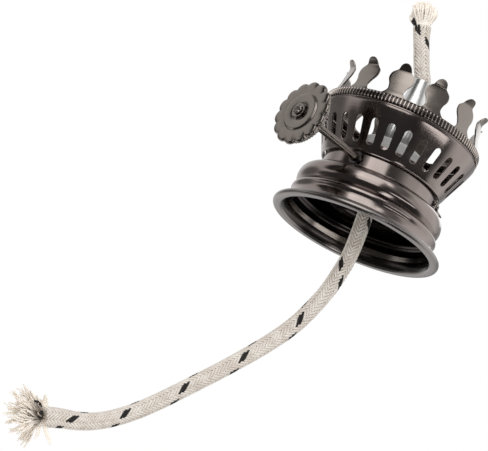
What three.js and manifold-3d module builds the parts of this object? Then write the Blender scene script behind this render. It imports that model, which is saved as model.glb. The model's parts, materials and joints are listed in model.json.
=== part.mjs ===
// Round-wick oil lamp burner: base shell, neck cup, wick raiser, gallery with prongs, and its cotton wick.
// Millimetres, +Z up along the burner's axis. The origin is the centre of the plane that the lip rests on.
// Azimuth 0 points to -Y and grows towards +X.
import * as THREE from 'three';
import { mergeVertices } from 'three/addons/utils/BufferGeometryUtils.js';
import Module from 'manifold-3d';

const wasm = await Module();
wasm.setup();

// Sizes that the pieces share
const sheet = 0.4;
const clearance = 0.3;
const overrun = 1;
const circleSides = 36;
const smallSides = 24;

// Wick, guide tube and spur wheel, which set how far the spindle passes from the burner's axis
const wickRadius = 1.95;
const tubeWall = 0.3;
const tubeBore = wickRadius + clearance;
const tubeRadius = tubeBore + tubeWall;
const wheelRadius = 2.35;
const wheelThickness = 1;
const wheelTeeth = 10;
const toothDepth = 0.7;
const spindleOffset = wickRadius + clearance + wheelRadius;

// Raiser housing round the spur wheel, and the neck cup round the housing
const housingMargin = 0.65;
const housingRadius = spindleOffset + wheelRadius + housingMargin + sheet;
const housingFlange = 1.3;
const housingFootRadius = housingRadius + housingFlange;
const draughtGap = 7.05;
const neckRadius = housingRadius + draughtGap;
const ventRadius = 0.6;
const ventAzimuth = THREE.MathUtils.degToRad(140);

// Base shell, which is pressed over the neck cup
const baseHeight = 13.1;
const neckFit = 0.25;
const baseNeckRadius = neckRadius + neckFit + sheet;
const lipOverhang = 6.7;
const lipRadius = baseNeckRadius + lipOverhang;
const lipRollRadius = 0.8;
const lipWidth = 2.35;
const lipInnerRadius = lipRadius - lipWidth;
const lipInnerRise = 0.3;
// Radius share runs from the neck's radius to the lip's.
// Height share runs from the lip's plane to the neck's edge.
const baseOutlineShares = [
  [0.64, 0.145], [0.55, 0.2], [0.53, 0.34], [0.57, 0.405], [0.545, 0.455], [0.41, 0.515], [0.5, 0.6],
  [0.548, 0.7], [0.5, 0.82], [0.39, 0.89], [0.15, 0.955], [0.03, 0.972], [0, 1],
];
const baseInsideShares = [
  [0.64, 0.145], [0.53, 0.215], [0.53, 0.405], [0.41, 0.515], [0.548, 0.7], [0.5, 0.82], [0.39, 0.89],
  [0.15, 0.955], [0, 1],
];

// Heights of the neck cup's floor, which closes the fuel side, and of what stands on it
const floorDrop = 2.1;
const floorTop = baseHeight - floorDrop;
const neckRise = 6.7;
const neckTop = baseHeight + neckRise;
const housingHeight = 14;
const housingTop = floorTop + housingHeight;
const tubeDrop = 3.5;
const tubeBottom = floorTop - tubeDrop;
const tubeFlareWidth = 0.75;
const tubeFlareRadius = tubeRadius + tubeFlareWidth;
const tubeFlareHeight = 1.4;

// Fluted collar round the guide tube
const collarWall = 1.05;
const collarRadius = tubeRadius + clearance + collarWall;
const fluteDepth = 0.25;
const fluteCount = 16;
const collarHeight = 7.7;
const tubeJoint = housingTop + clearance + collarHeight;

// Burner tip
const tipHeight = 11.5;
const tubeTop = tubeJoint + tipHeight;
const tipOverhang = 1.4;
const tipFootRadius = collarRadius + tipOverhang;
// Radius share runs from the tube's radius to the foot's, height share from the foot to the mouth
const tipOutlineShares = [
  [1, 0], [0.92, 0.04], [0.72, 0.14], [0.5, 0.27], [0.3, 0.42], [0.14, 0.6], [0.04, 0.82], [0, 1],
];
const tipHollowShare = 0.3;

// Spindle
const spindleAzimuth = THREE.MathUtils.degToRad(-50);
const spindleRise = 1.7;
const spindleHeight = baseHeight + spindleRise;
const spindleRadius = 1;
const spindleRidges = 8;
const ridgeDepth = 0.12;

// What stands on the spindle's line, measured outwards from its nearest place to the wick
const housingWallPlace = Math.sqrt(housingRadius ** 2 - spindleOffset ** 2);
const neckWallInside = Math.sqrt((neckRadius - sheet) ** 2 - spindleOffset ** 2);
const neckWallOutside = Math.sqrt(neckRadius ** 2 - spindleOffset ** 2);
const spindleTail = 2.65;
const spindleInnerEnd = -housingWallPlace - spindleTail;
const ridgeGap = 1.5;
const spindleRidgeStart = neckWallOutside + ridgeGap;
const bushWall = 0.3;
const bushLength = 2.5;
const bushInnerEnd = neckWallInside - bushLength;
const stopRingGap = 1.1;
const stopRingLength = 0.9;
const stopRingPlace = bushInnerEnd - stopRingGap - stopRingLength;
const stopRingWall = 0.6;
const saddleInnerWidth = 2.2;
const saddleWall = 1.3;
const knobReach = 22.87;
const knobFace = neckWallOutside + knobReach;
const knobRadius = 8.2;
const knobLobes = 14;
const lobeHeight = 0.33;
const knobDepth = 3;
const knobBackStep = 0.7;
const knobBackRadius = knobRadius - knobBackStep;
const knobBackBeads = 21;
const beadHeight = 0.25;
// Radius share of the knob's radius, depth share of its depth, measured back from the face
const knobFaceShares = [
  [0, 0.12], [0.3, 0.12], [0.36, 0.04], [0.58, 0], [0.66, 0.22], [0.8, 0.3], [0.93, 0.22], [1, 0.42],
];
const knobBackShares = [[0.62, 0.55], [0, 0.5]];
const washerWall = 0.85;
const washerThickness = 0.4;
const rivetHeadWidth = 0.6;
const rivetHeight = 0.5;

// Gallery basket, whose skirt slips over the neck cup
const skirtClearance = 0.6;
const skirtRadius = neckRadius + skirtClearance + sheet;
const skirtRise = 3.4;
const skirtBottom = baseHeight + skirtRise;
const galleryFlare = 4.85;
const rimRadius = skirtRadius + galleryFlare;
const basketHeight = 14.8;
const rimTop = skirtBottom + basketHeight;
// Radius share runs from the skirt's radius to the rim's.
// Height share runs from the skirt's edge to the rim's top.
const basketOutlineShares = [
  [0, 0], [0.763, 0.588], [0.9, 0.69], [0.98, 0.79], [0.925, 0.833], [0.99, 0.88], [0.99, 0.94], [0.9, 1],
];
const basketInsideShares = [[0, 0], [0.763, 0.588], [0.9, 0.69], [0.98, 0.79], [0.99, 0.94], [0.9, 1]];
const slotCount = 27;
const slotWidth = 2;
const slotLength = 6.8;
const slotPlaceShare = 0.58;
const slotPhase = THREE.MathUtils.degToRad(3.4);

// Prong crown
const prongCount = 12;
const prongPhase = THREE.MathUtils.degToRad(11.4);
const prongHeight = 9.4;
const prongTop = rimTop + prongHeight;
const crownStep = 1.25;
const crownRadius = rimRadius - crownStep;
const crownSheet = 0.36;
const seatWidth = 2.55;
const seatRadius = crownRadius - seatWidth;
const seatDrop = 1.1;
const seatTop = rimTop - seatDrop;
const prongColumns = 3;
const prongBellyHalfWidth = 3.25;
const prongLean = 1.5;
const prongLeanRadius = crownRadius - prongLean;
// Each row: height share from root to tip, half width as a share of the belly's,
// and lean share towards the axis
const prongShares = [
  [0.015, 1.2, 0], [0.05, 0.96, 0.05], [0.11, 0.77, 0.12], [0.2, 0.645, 0.3], [0.36, 0.74, 0.57],
  [0.57, 1, 0.84], [0.71, 0.93, 0.97], [0.8, 0.66, 1], [0.86, 0.48, 0.87], [0.95, 0.4, 0.5], [1, 0.16, 0.17],
];

// Catch under the skirt's edge
const catchAzimuth = THREE.MathUtils.degToRad(84);
const catchWidth = 4.6;
const catchEarPlace = 1.3;
const catchRivetPlace = -1;
const catchMiddle = (baseHeight + skirtBottom) / 2;
const catchLength = 2.95;
const catchReach = neckRadius + catchLength;
const catchSheet = 0.45;
const catchRivetRadius = 0.55;
const catchRivetHeadRadius = 1;
const catchRivetHead = 0.45;

// Wick routes, as places chosen by hand: x, y, z.
// The top stretch starts from the middle of the tube's mouth.
const wickSides = 8;
const wickTopRoute = [
  [0, 0, 0.3], [-0.2, 0, 1.5], [-0.9, 0, 2.7], [-1.8, 0, 3.9], [-2.65, 0, 5.3], [-3.85, 0, 8],
  [-5.05, 0, 10.9], [-6, 0, 13.7],
];
const wickHangRoute = [
  [0, 0, -11], [-0.1, 0, -13], [-0.45, 0, -15.2], [-1.1, 0, -17.7], [-1.95, 0, -20.5], [-2.9, 0, -23.2],
  [-4, 0, -26], [-5.3, 0, -28.6], [-6.7, 0, -31.1], [-9.8, 0, -36], [-13.1, 0, -40.7], [-16.5, 0, -45.3],
  [-19.95, 0, -49.8], [-23.4, 0, -54.2], [-26.9, 0, -58.6], [-30.6, 0, -62.8], [-34.5, 0, -66.5],
  [-38.8, 0, -69.6], [-43.3, 0, -71.6], [-46.6, 0, -72.5], [-50, 0, -73.7],
];
const looseWickRadius = 2.1;
const wickTopStep = looseWickRadius / 2;
const wickHangStep = looseWickRadius * 2;
const tuftLength = 6;
const tuftRadius = 3.5;
const frayLength = 11;
const frayRadius = 6.8;

const darkSteel = { color: '#4c4441', metalness: 0.9, roughness: 0.35 };
const brightMetal = { color: '#cfd0cc', metalness: 0.9, roughness: 0.35 };
const brassMetal = { color: '#b08d4c', metalness: 0.9, roughness: 0.4 };
const cotton = { color: '#e8dcc8', metalness: 0, roughness: 0.9 };

// A profile point list from radius and height shares
function outline(shares, innerRadius, outerRadius, bottom, top) {
  return shares.map(([radiusShare, heightShare]) => new THREE.Vector2(
    innerRadius + radiusShare * (outerRadius - innerRadius),
    bottom + heightShare * (top - bottom),
  ));
}

// The line that runs one wall thickness nearer the axis than a profile line that goes upwards
function innerLine(points, wall) {
  return points.map((point, index) => {
    const before = points[Math.max(index - 1, 0)];
    const after = points[Math.min(index + 1, points.length - 1)];
    const along = after.clone().sub(before).normalize();
    return new THREE.Vector2(point.x - wall * along.y, point.y + wall * along.x);
  });
}

function arc(centre, radius, from, to, steps) {
  return Array.from({ length: steps + 1 }, (_, index) => {
    const angle = from + (to - from) * index / steps;
    return new THREE.Vector2(centre.x + radius * Math.cos(angle), centre.y + radius * Math.sin(angle));
  });
}

// A closed body for cutting and joining, with its faces turned outwards
function solid(geometry) {
  const bare = geometry.clone();
  bare.deleteAttribute('normal');
  bare.deleteAttribute('uv');
  const merged = mergeVertices(bare, 1e-5);
  const place = merged.attributes.position.array;
  const corner = (index) => new THREE.Vector3().fromArray(place, index * 3);
  const faces = [];
  let volume = 0;
  for (let start = 0; start < merged.index.count; start += 3) {
    const [a, b, c] = [0, 1, 2].map((step) => merged.index.getX(start + step));
    if (a !== b && b !== c && c !== a) {
      faces.push([a, b, c]);
      volume += corner(a).dot(corner(b).cross(corner(c)));
    }
  }
  const turned = volume < 0 ? faces.map(([a, b, c]) => [a, c, b]) : faces;
  const triVerts = Uint32Array.from(turned.flat());
  const vertProperties = Float32Array.from(place);
  return new wasm.Manifold(new wasm.Mesh({ numProp: 3, vertProperties, triVerts }));
}

function geometryOf(body) {
  const mesh = body.getMesh();
  const geometry = new THREE.BufferGeometry();
  geometry.setAttribute('position', new THREE.BufferAttribute(Float32Array.from(mesh.vertProperties), 3));
  geometry.setIndex(Array.from(mesh.triVerts));
  geometry.computeVertexNormals();
  return geometry;
}

function piece(name, body, finish) {
  const mesh = new THREE.Mesh(geometryOf(body), new THREE.MeshStandardMaterial(finish));
  mesh.name = name;
  return mesh;
}

// A body turned about the Z axis from a closed profile
function turned(profile, sides) {
  const geometry = new THREE.LatheGeometry([...profile, profile[0]], sides);
  geometry.rotateX(Math.PI / 2);
  return solid(geometry);
}

function ring(innerRadius, outerRadius, bottom, top, sides) {
  return turned([
    new THREE.Vector2(innerRadius, bottom), new THREE.Vector2(outerRadius, bottom),
    new THREE.Vector2(outerRadius, top), new THREE.Vector2(innerRadius, top),
  ], sides);
}

function rod(radius, bottom, top, sides) {
  const geometry = new THREE.CylinderGeometry(radius, radius, top - bottom, sides);
  geometry.rotateX(Math.PI / 2);
  geometry.translate(0, 0, (bottom + top) / 2);
  return geometry;
}

function box(low, high) {
  const size = high.clone().sub(low);
  const geometry = new THREE.BoxGeometry(size.x, size.y, size.z);
  geometry.translate((low.x + high.x) / 2, (low.y + high.y) / 2, (low.z + high.z) / 2);
  return geometry;
}

// The spindle's own frame: its Z runs outwards along the spindle, its X away from the wick, its Y is up
const spindleFrame = new THREE.Matrix4()
  .makeRotationZ(spindleAzimuth)
  .multiply(new THREE.Matrix4().makeTranslation(spindleOffset, 0, spindleHeight))
  .multiply(new THREE.Matrix4().makeRotationX(Math.PI / 2));

function alongSpindle(geometry) {
  return solid(geometry.clone().applyMatrix4(spindleFrame));
}

function inSpindleFrame(mesh) {
  mesh.applyMatrix4(spindleFrame);
  return mesh;
}

// Base shell: a rolled lip, a groove, a bead and the shoulder up to the neck, drawn from one sheet
function baseShell() {
  const wallLine = outline(baseOutlineShares, baseNeckRadius, lipRadius, 0, baseHeight);
  const insideLine = innerLine(outline(baseInsideShares, baseNeckRadius, lipRadius, 0, baseHeight), sheet);
  const rollCentre = new THREE.Vector2(lipRadius - lipRollRadius, lipRollRadius);
  const lip = [
    new THREE.Vector2(lipInnerRadius, lipInnerRise),
    new THREE.Vector2(lipInnerRadius + lipInnerRise, 0),
    ...arc(rollCentre, lipRollRadius, -Math.PI / 2, Math.PI / 2, 4),
  ];
  return turned([...lip, ...wallLine, ...insideLine.reverse()], circleSides);
}

// The base shell's outer radius at a height above its widest shoulder
function shoulderRadius(height) {
  const line = outline(baseOutlineShares, baseNeckRadius, lipRadius, 0, baseHeight);
  const next = line.findIndex((point) => point.y > height);
  const [low, high] = [line[next - 1], line[next]];
  return THREE.MathUtils.mapLinear(height, low.y, high.y, low.x, high.x);
}

// Neck cup: its foot catches under the shell's shoulder, its wall carries the gallery, its floor the tube
function neckCup() {
  const footRadius = shoulderRadius(floorTop + clearance) - sheet - 2 * clearance;
  const floorBottom = floorTop - sheet;
  const hole = tubeRadius + clearance;
  const cup = turned([
    new THREE.Vector2(hole, floorBottom), new THREE.Vector2(footRadius, floorBottom),
    new THREE.Vector2(footRadius, floorTop), new THREE.Vector2(neckRadius, floorTop),
    new THREE.Vector2(neckRadius, neckTop), new THREE.Vector2(neckRadius - sheet, neckTop),
    new THREE.Vector2(neckRadius - sheet, floorTop), new THREE.Vector2(hole, floorTop),
  ], circleSides);
  const bushHoleRadius = spindleRadius + 2 * clearance + bushWall;
  const bushHole = alongSpindle(rod(bushHoleRadius, 0, neckRadius + overrun, smallSides));
  const vent = rod(ventRadius, floorBottom - overrun, floorTop + overrun, smallSides);
  vent.translate(0, -(housingFootRadius + neckRadius) / 2, 0);
  vent.rotateZ(ventAzimuth);
  return cup.subtract(bushHole).subtract(solid(vent)).subtract(catchRivetHole());
}

// The rivet's axis, through the middle of the catch's foot
function atCatch(geometry) {
  geometry.rotateX(Math.PI / 2);
  geometry.translate(catchRivetPlace, 0, catchMiddle);
  geometry.rotateZ(catchAzimuth);
  return solid(geometry);
}

function catchRivetHole() {
  const inner = neckRadius - sheet - overrun;
  const outer = neckRadius + clearance + catchSheet + overrun;
  return atCatch(rod(catchRivetRadius + clearance, inner, outer, smallSides / 2));
}

// Rivet: a head inside the neck cup and one on the catch's foot
function catchRivet() {
  const innerFace = neckRadius - sheet - clearance;
  const outerFace = neckRadius + clearance + catchSheet + clearance;
  const head = catchRivetHeadRadius;
  const profile = [
    new THREE.Vector2(0, innerFace - catchRivetHead), new THREE.Vector2(head, innerFace - catchRivetHead),
    new THREE.Vector2(head, innerFace), new THREE.Vector2(catchRivetRadius, innerFace),
    new THREE.Vector2(catchRivetRadius, outerFace), new THREE.Vector2(head, outerFace),
    new THREE.Vector2(head, outerFace + catchRivetHead), new THREE.Vector2(0, outerFace + catchRivetHead),
  ];
  const geometry = new THREE.LatheGeometry(profile, smallSides / 2);
  geometry.rotateX(Math.PI / 2);
  return atCatch(geometry);
}

// Guide tube: its lower mouth is flared for the wick, and a window lets the spur wheel reach the wick
function guideTube() {
  const flareTop = tubeBottom + tubeFlareHeight;
  const outer = [
    new THREE.Vector2(tubeFlareRadius, tubeBottom), new THREE.Vector2(tubeRadius, flareTop),
    new THREE.Vector2(tubeRadius, tubeJoint),
  ];
  const inner = [
    new THREE.Vector2(tubeBore, tubeJoint), new THREE.Vector2(tubeBore, flareTop),
    new THREE.Vector2(tubeFlareRadius - tubeWall, tubeBottom),
  ];
  const halfWidth = wheelThickness / 2 + clearance;
  const halfHeight = wheelRadius + clearance;
  const window = box(
    new THREE.Vector3(-spindleOffset + wickRadius / 2, -halfHeight, -halfWidth),
    new THREE.Vector3(0, halfHeight, halfWidth),
  );
  return turned([...outer, ...inner], smallSides).subtract(alongSpindle(window));
}

// Burner tip: the tube's mouth on a hollow cone that stands on the collar
function burnerTip() {
  const foot = tubeJoint + clearance;
  const outer = outline(tipOutlineShares, tubeRadius, tipFootRadius, foot, tubeTop);
  const hollowTop = foot + tipHollowShare * (tubeTop - foot);
  return turned([
    ...outer,
    new THREE.Vector2(tubeBore, tubeTop), new THREE.Vector2(tubeBore, hollowTop),
    new THREE.Vector2(tipFootRadius - tubeWall, foot),
  ], smallSides);
}

// Fluted collar: carries the tip on the housing's top
function flutedCollar() {
  const shape = new THREE.Shape();
  const steps = fluteCount * 2;
  for (let step = 0; step < steps; step += 1) {
    const angle = step * 2 * Math.PI / steps;
    const radius = step % 2 ? collarRadius - fluteDepth : collarRadius;
    shape[step === 0 ? 'moveTo' : 'lineTo'](radius * Math.cos(angle), radius * Math.sin(angle));
  }
  const bottom = housingTop + clearance;
  const body = new THREE.ExtrudeGeometry(shape, { depth: tubeJoint - bottom, bevelEnabled: false });
  body.translate(0, 0, bottom);
  const bore = rod(tubeRadius + clearance, bottom - overrun, tubeJoint + overrun, smallSides);
  return solid(body).subtract(solid(bore));
}

// Raiser housing: an inverted cup over the spur wheel, standing on the neck cup's floor
function raiserHousing() {
  const foot = floorTop + clearance;
  const hole = tubeRadius + clearance;
  const inner = housingRadius - sheet;
  const cup = turned([
    new THREE.Vector2(inner, foot), new THREE.Vector2(housingFootRadius, foot),
    new THREE.Vector2(housingFootRadius, foot + sheet), new THREE.Vector2(housingRadius, foot + sheet),
    new THREE.Vector2(housingRadius, housingTop), new THREE.Vector2(hole, housingTop),
    new THREE.Vector2(hole, housingTop - sheet), new THREE.Vector2(inner, housingTop - sheet),
  ], circleSides);
  const passage = rod(spindleRadius + clearance, -housingFootRadius, housingFootRadius, smallSides);
  return cup.subtract(alongSpindle(passage));
}

// Saddle: a folded bracket whose two cheeks carry the spindle on each side of the spur wheel
function spindleSaddle() {
  const near = -(spindleOffset - tubeRadius - clearance / 2);
  const far = wheelRadius;
  const foot = floorTop + clearance - spindleHeight;
  const top = spindleRadius + saddleWall;
  const halfInner = saddleInnerWidth / 2;
  const halfOuter = halfInner + sheet;
  const block = box(new THREE.Vector3(near, foot, -halfOuter), new THREE.Vector3(far, top, halfOuter));
  const space = box(
    new THREE.Vector3(near - overrun, foot + sheet, -halfInner),
    new THREE.Vector3(far + overrun, top + overrun, halfInner),
  );
  const hole = rod(spindleRadius + clearance, -halfOuter - overrun, halfOuter + overrun, smallSides);
  return solid(block).subtract(solid(space)).subtract(solid(hole));
}

// Bush: lines the hole where the spindle passes the neck cup's wall, flush with the wall outside
function spindleBush() {
  const bore = spindleRadius + clearance;
  const outerEnd = neckWallOutside - clearance;
  const collarFace = neckWallInside - 4 * clearance;
  return turned([
    new THREE.Vector2(bore, bushInnerEnd), new THREE.Vector2(bore + 2 * bushWall + clearance, bushInnerEnd),
    new THREE.Vector2(bore + 2 * bushWall + clearance, collarFace),
    new THREE.Vector2(bore + bushWall, collarFace),
    new THREE.Vector2(bore + bushWall, outerEnd), new THREE.Vector2(bore, outerEnd),
  ], smallSides);
}

// Spindle: plain in its bearings, ridged where it shows, with its end peened over the washer
function spindle() {
  const ridgeEnd = knobFace - knobDepth - clearance;
  const shape = new THREE.Shape();
  const steps = spindleRidges * 2;
  for (let step = 0; step < steps; step += 1) {
    const angle = step * 2 * Math.PI / steps;
    const radius = step % 2 ? spindleRadius - ridgeDepth : spindleRadius;
    shape[step === 0 ? 'moveTo' : 'lineTo'](radius * Math.cos(angle), radius * Math.sin(angle));
  }
  const ridgedLength = ridgeEnd - spindleRidgeStart;
  const ridged = new THREE.ExtrudeGeometry(shape, { depth: ridgedLength, bevelEnabled: false });
  ridged.translate(0, 0, spindleRidgeStart);
  const core = spindleRadius - 2 * ridgeDepth;
  const headBottom = knobFace + washerThickness + clearance;
  const inBearings = rod(spindleRadius, spindleInnerEnd, spindleRidgeStart, smallSides);
  const through = rod(core, spindleRidgeStart - sheet, headBottom + rivetHeight / 2, smallSides);
  const head = turned([
    new THREE.Vector2(0, headBottom), new THREE.Vector2(core + rivetHeadWidth, headBottom),
    new THREE.Vector2(core + rivetHeadWidth, headBottom + rivetHeight / 2),
    new THREE.Vector2(core, headBottom + rivetHeight), new THREE.Vector2(0, headBottom + rivetHeight),
  ], smallSides);
  return solid(ridged).add(solid(inBearings)).add(solid(through)).add(head);
}

// Spur wheel: pointed teeth that carry the wick up or down
function spurWheel() {
  const shape = new THREE.Shape();
  for (let step = 0; step < wheelTeeth * 2; step += 1) {
    const angle = step * Math.PI / wheelTeeth;
    const radius = step % 2 ? wheelRadius - toothDepth : wheelRadius;
    shape[step === 0 ? 'moveTo' : 'lineTo'](radius * Math.cos(angle), radius * Math.sin(angle));
  }
  const body = new THREE.ExtrudeGeometry(shape, { depth: wheelThickness, bevelEnabled: false });
  body.translate(0, 0, -wheelThickness / 2);
  const bore = rod(spindleRadius + clearance, -wheelThickness, wheelThickness, smallSides);
  return solid(body).subtract(solid(bore));
}

// A turned body whose edge swells into lobes, from a closed profile
function lobed(profile, rimRadiusHere, lobes, height, sidesPerLobe) {
  const geometry = new THREE.LatheGeometry([...profile, profile[0]], lobes * sidesPerLobe);
  const place = geometry.attributes.position;
  for (let index = 0; index < place.count; index += 1) {
    const [x, z] = [place.getX(index), place.getZ(index)];
    const share = Math.hypot(x, z) / rimRadiusHere;
    const swell = 1 + height / rimRadiusHere * share ** 6 * Math.cos(lobes * Math.atan2(x, z));
    place.setX(index, x * swell);
    place.setZ(index, z * swell);
  }
  geometry.rotateX(Math.PI / 2);
  return solid(geometry);
}

// Knob front: a pressed face with a raised middle and a scalloped edge
function knobFront() {
  const bore = spindleRadius - 2 * ridgeDepth + clearance;
  const face = knobFaceShares.map(([radiusShare, depthShare]) => new THREE.Vector2(
    Math.max(radiusShare * knobRadius, bore), knobFace - depthShare * knobDepth,
  ));
  const rim = face[face.length - 1];
  const back = knobBackShares.map(([radiusShare, depthShare]) => new THREE.Vector2(
    Math.max(radiusShare * knobRadius, bore), knobFace - depthShare * knobDepth,
  ));
  const edge = new THREE.Vector2(rim.x, rim.y - sheet / 2);
  return lobed([...face, edge, ...back], knobRadius, knobLobes, lobeHeight, 4);
}

// Knob back: a shallow cup with a finely beaded edge, gripped behind the front
function knobBack() {
  const bore = spindleRadius - 2 * ridgeDepth + clearance;
  const back = knobFace - knobDepth;
  const frontEdge = knobFace - knobFaceShares[knobFaceShares.length - 1][1] * knobDepth;
  const top = frontEdge - sheet - clearance;
  return lobed([
    new THREE.Vector2(bore, back), new THREE.Vector2(knobBackRadius - 2 * sheet, back),
    new THREE.Vector2(knobBackRadius, back + sheet), new THREE.Vector2(knobBackRadius, top),
    new THREE.Vector2(knobBackRadius - sheet, top),
    new THREE.Vector2(knobBackRadius - sheet, back + 2 * sheet),
    new THREE.Vector2(bore, back + sheet),
  ], knobBackRadius, knobBackBeads, beadHeight, 2);
}

// Gallery basket: a skirt that slips over the neck cup, a slotted cone and a beaded rim
function galleryBasket() {
  const line = outline(basketOutlineShares, skirtRadius, rimRadius, skirtBottom, rimTop);
  const inside = innerLine(outline(basketInsideShares, skirtRadius, rimRadius, skirtBottom, rimTop), sheet);
  let basket = turned([...line, ...inside.reverse()], slotCount * 2);
  const [coneFoot, coneTop] = line;
  const along = coneTop.clone().sub(coneFoot).normalize();
  const coneLength = coneFoot.distanceTo(coneTop);
  const middle = coneFoot.clone().addScaledVector(along, coneLength * slotPlaceShare);
  const straight = slotLength - slotWidth;
  const shape = new THREE.Shape();
  shape.absarc(0, straight / 2, slotWidth / 2, 0, Math.PI);
  shape.absarc(0, -straight / 2, slotWidth / 2, Math.PI, 2 * Math.PI);
  const depth = 4 * sheet + overrun;
  const cutter = new THREE.ExtrudeGeometry(shape, { depth, bevelEnabled: false, curveSegments: 2 });
  cutter.translate(0, 0, -depth / 2);
  cutter.applyMatrix4(new THREE.Matrix4().makeBasis(
    new THREE.Vector3(1, 0, 0),
    new THREE.Vector3(0, -along.x, along.y),
    new THREE.Vector3(0, -along.y, -along.x),
  ));
  cutter.translate(0, -middle.x, middle.y);
  for (let index = 0; index < slotCount; index += 1) {
    const slot = cutter.clone();
    slot.rotateZ(slotPhase + index * 2 * Math.PI / slotCount);
    basket = basket.subtract(solid(slot));
  }
  return basket;
}

// Prong crown: a seat for the chimney, a low wall and the leaf-shaped prongs, one sheet throughout
function prongCrown() {
  const pitch = 2 * Math.PI / prongCount;
  const seatMiddle = seatTop - crownSheet / 2;
  const rootHeight = rimTop - crownSheet / 2;
  const ringRows = [
    [seatRadius, seatMiddle],
    [crownRadius - 3 * crownSheet, seatMiddle],
    [crownRadius - 2 * crownSheet, seatMiddle],
    [crownRadius, seatMiddle + 2 * crownSheet], [crownRadius, rootHeight],
  ];
  const rows = ringRows.map(([radius, height]) => ({ radius, height, halfAngle: pitch / 2 }));
  for (const [heightShare, widthShare, leanShare] of prongShares) {
    const height = rootHeight + heightShare * (prongTop - rootHeight);
    const radius = crownRadius + leanShare * (prongLeanRadius - crownRadius);
    rows.push({ radius, height, halfAngle: widthShare * prongBellyHalfWidth / radius });
  }
  rows.forEach((row, index) => {
    const before = rows[Math.max(index - 1, 0)];
    const after = rows[Math.min(index + 1, rows.length - 1)];
    const length = Math.hypot(after.radius - before.radius, after.height - before.height);
    row.outward = (after.height - before.height) / length;
    row.upward = -(after.radius - before.radius) / length;
  });
  const places = [];
  const faces = [];
  const seen = new Map();
  const columnsRound = prongCount * prongColumns;
  const rootRow = ringRows.length - 1;
  function vertex(rowIndex, prong, column, side) {
    const ringColumn = (prong * prongColumns + column) % columnsRound;
    const ringKey = `${rowIndex} ${ringColumn} ${side}`;
    const key = rowIndex <= rootRow ? ringKey : `${rowIndex} ${prong} ${column} ${side}`;
    if (!seen.has(key)) {
      const row = rows[rowIndex];
      const angle = prongPhase + prong * pitch + row.halfAngle * (2 * column / prongColumns - 1);
      const radius = row.radius + side * row.outward * crownSheet / 2;
      const height = row.height + side * row.upward * crownSheet / 2;
      seen.set(key, places.length / 3);
      places.push(radius * Math.sin(angle), -radius * Math.cos(angle), height);
    }
    return seen.get(key);
  }
  function quad(a, b, c, d) {
    faces.push(a, b, c, a, c, d);
  }
  for (let prong = 0; prong < prongCount; prong += 1) {
    for (let rowIndex = 0; rowIndex < rows.length - 1; rowIndex += 1) {
      for (let column = 0; column < prongColumns; column += 1) {
        const corner = (rowStep, columnStep, side) =>
          vertex(rowIndex + rowStep, prong, column + columnStep, side);
        quad(corner(0, 0, 1), corner(0, 1, 1), corner(1, 1, 1), corner(1, 0, 1));
        quad(corner(0, 0, -1), corner(1, 0, -1), corner(1, 1, -1), corner(0, 1, -1));
      }
      if (rowIndex >= rootRow) {
        const left = (rowStep, side) => vertex(rowIndex + rowStep, prong, 0, side);
        const right = (rowStep, side) => vertex(rowIndex + rowStep, prong, prongColumns, side);
        quad(left(0, -1), left(0, 1), left(1, 1), left(1, -1));
        quad(right(0, 1), right(0, -1), right(1, -1), right(1, 1));
      }
    }
    for (let column = 0; column < prongColumns; column += 1) {
      const edge = (rowIndex, columnStep, side) => vertex(rowIndex, prong, column + columnStep, side);
      const tip = rows.length - 1;
      quad(edge(0, 0, -1), edge(0, 1, -1), edge(0, 1, 1), edge(0, 0, 1));
      quad(edge(tip, 0, 1), edge(tip, 1, 1), edge(tip, 1, -1), edge(tip, 0, -1));
    }
  }
  const geometry = new THREE.BufferGeometry();
  geometry.setAttribute('position', new THREE.BufferAttribute(Float32Array.from(places), 3));
  geometry.setIndex(faces);
  return solid(geometry);
}

// Catch: a foot against the neck cup's wall and a pointed ear, just under the skirt's edge
function galleryCatch() {
  const wall = neckRadius + clearance;
  const bottom = baseHeight + clearance;
  const top = skirtBottom - clearance;
  const earBottom = bottom + catchSheet / 2;
  const foot = box(
    new THREE.Vector3(-catchWidth / 2, -wall - catchSheet, bottom),
    new THREE.Vector3(catchWidth / 2, -wall, top),
  );
  const ear = new THREE.Shape();
  ear.moveTo(wall + catchSheet / 2, top - catchSheet);
  ear.lineTo(wall + catchSheet / 2, earBottom + catchSheet);
  ear.lineTo(catchReach, earBottom);
  const blade = new THREE.ExtrudeGeometry(ear, { depth: catchSheet, bevelEnabled: false });
  blade.translate(0, 0, -catchEarPlace - catchSheet / 2);
  blade.applyMatrix4(new THREE.Matrix4().makeBasis(
    new THREE.Vector3(0, -1, 0), new THREE.Vector3(0, 0, 1), new THREE.Vector3(-1, 0, 0),
  ));
  const turnedFoot = foot.rotateZ(catchAzimuth);
  const turnedBlade = blade.rotateZ(catchAzimuth);
  return solid(turnedFoot).add(solid(turnedBlade)).subtract(catchRivetHole());
}

// A wick stretch: a round section along a smooth curve through the places
function wickAlong(route, height, stepLength) {
  const places = route.map((place) => new THREE.Vector3(...place));
  const curve = new THREE.CatmullRomCurve3(places, false, 'centripetal');
  const section = new THREE.Shape();
  section.absarc(0, 0, looseWickRadius, 0, 2 * Math.PI);
  const steps = Math.ceil(curve.getLength() / stepLength);
  const geometry = new THREE.ExtrudeGeometry(section, {
    steps, extrudePath: curve, curveSegments: wickSides / 2, bevelEnabled: false,
  });
  geometry.translate(0, 0, height);
  return solid(geometry);
}

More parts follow.
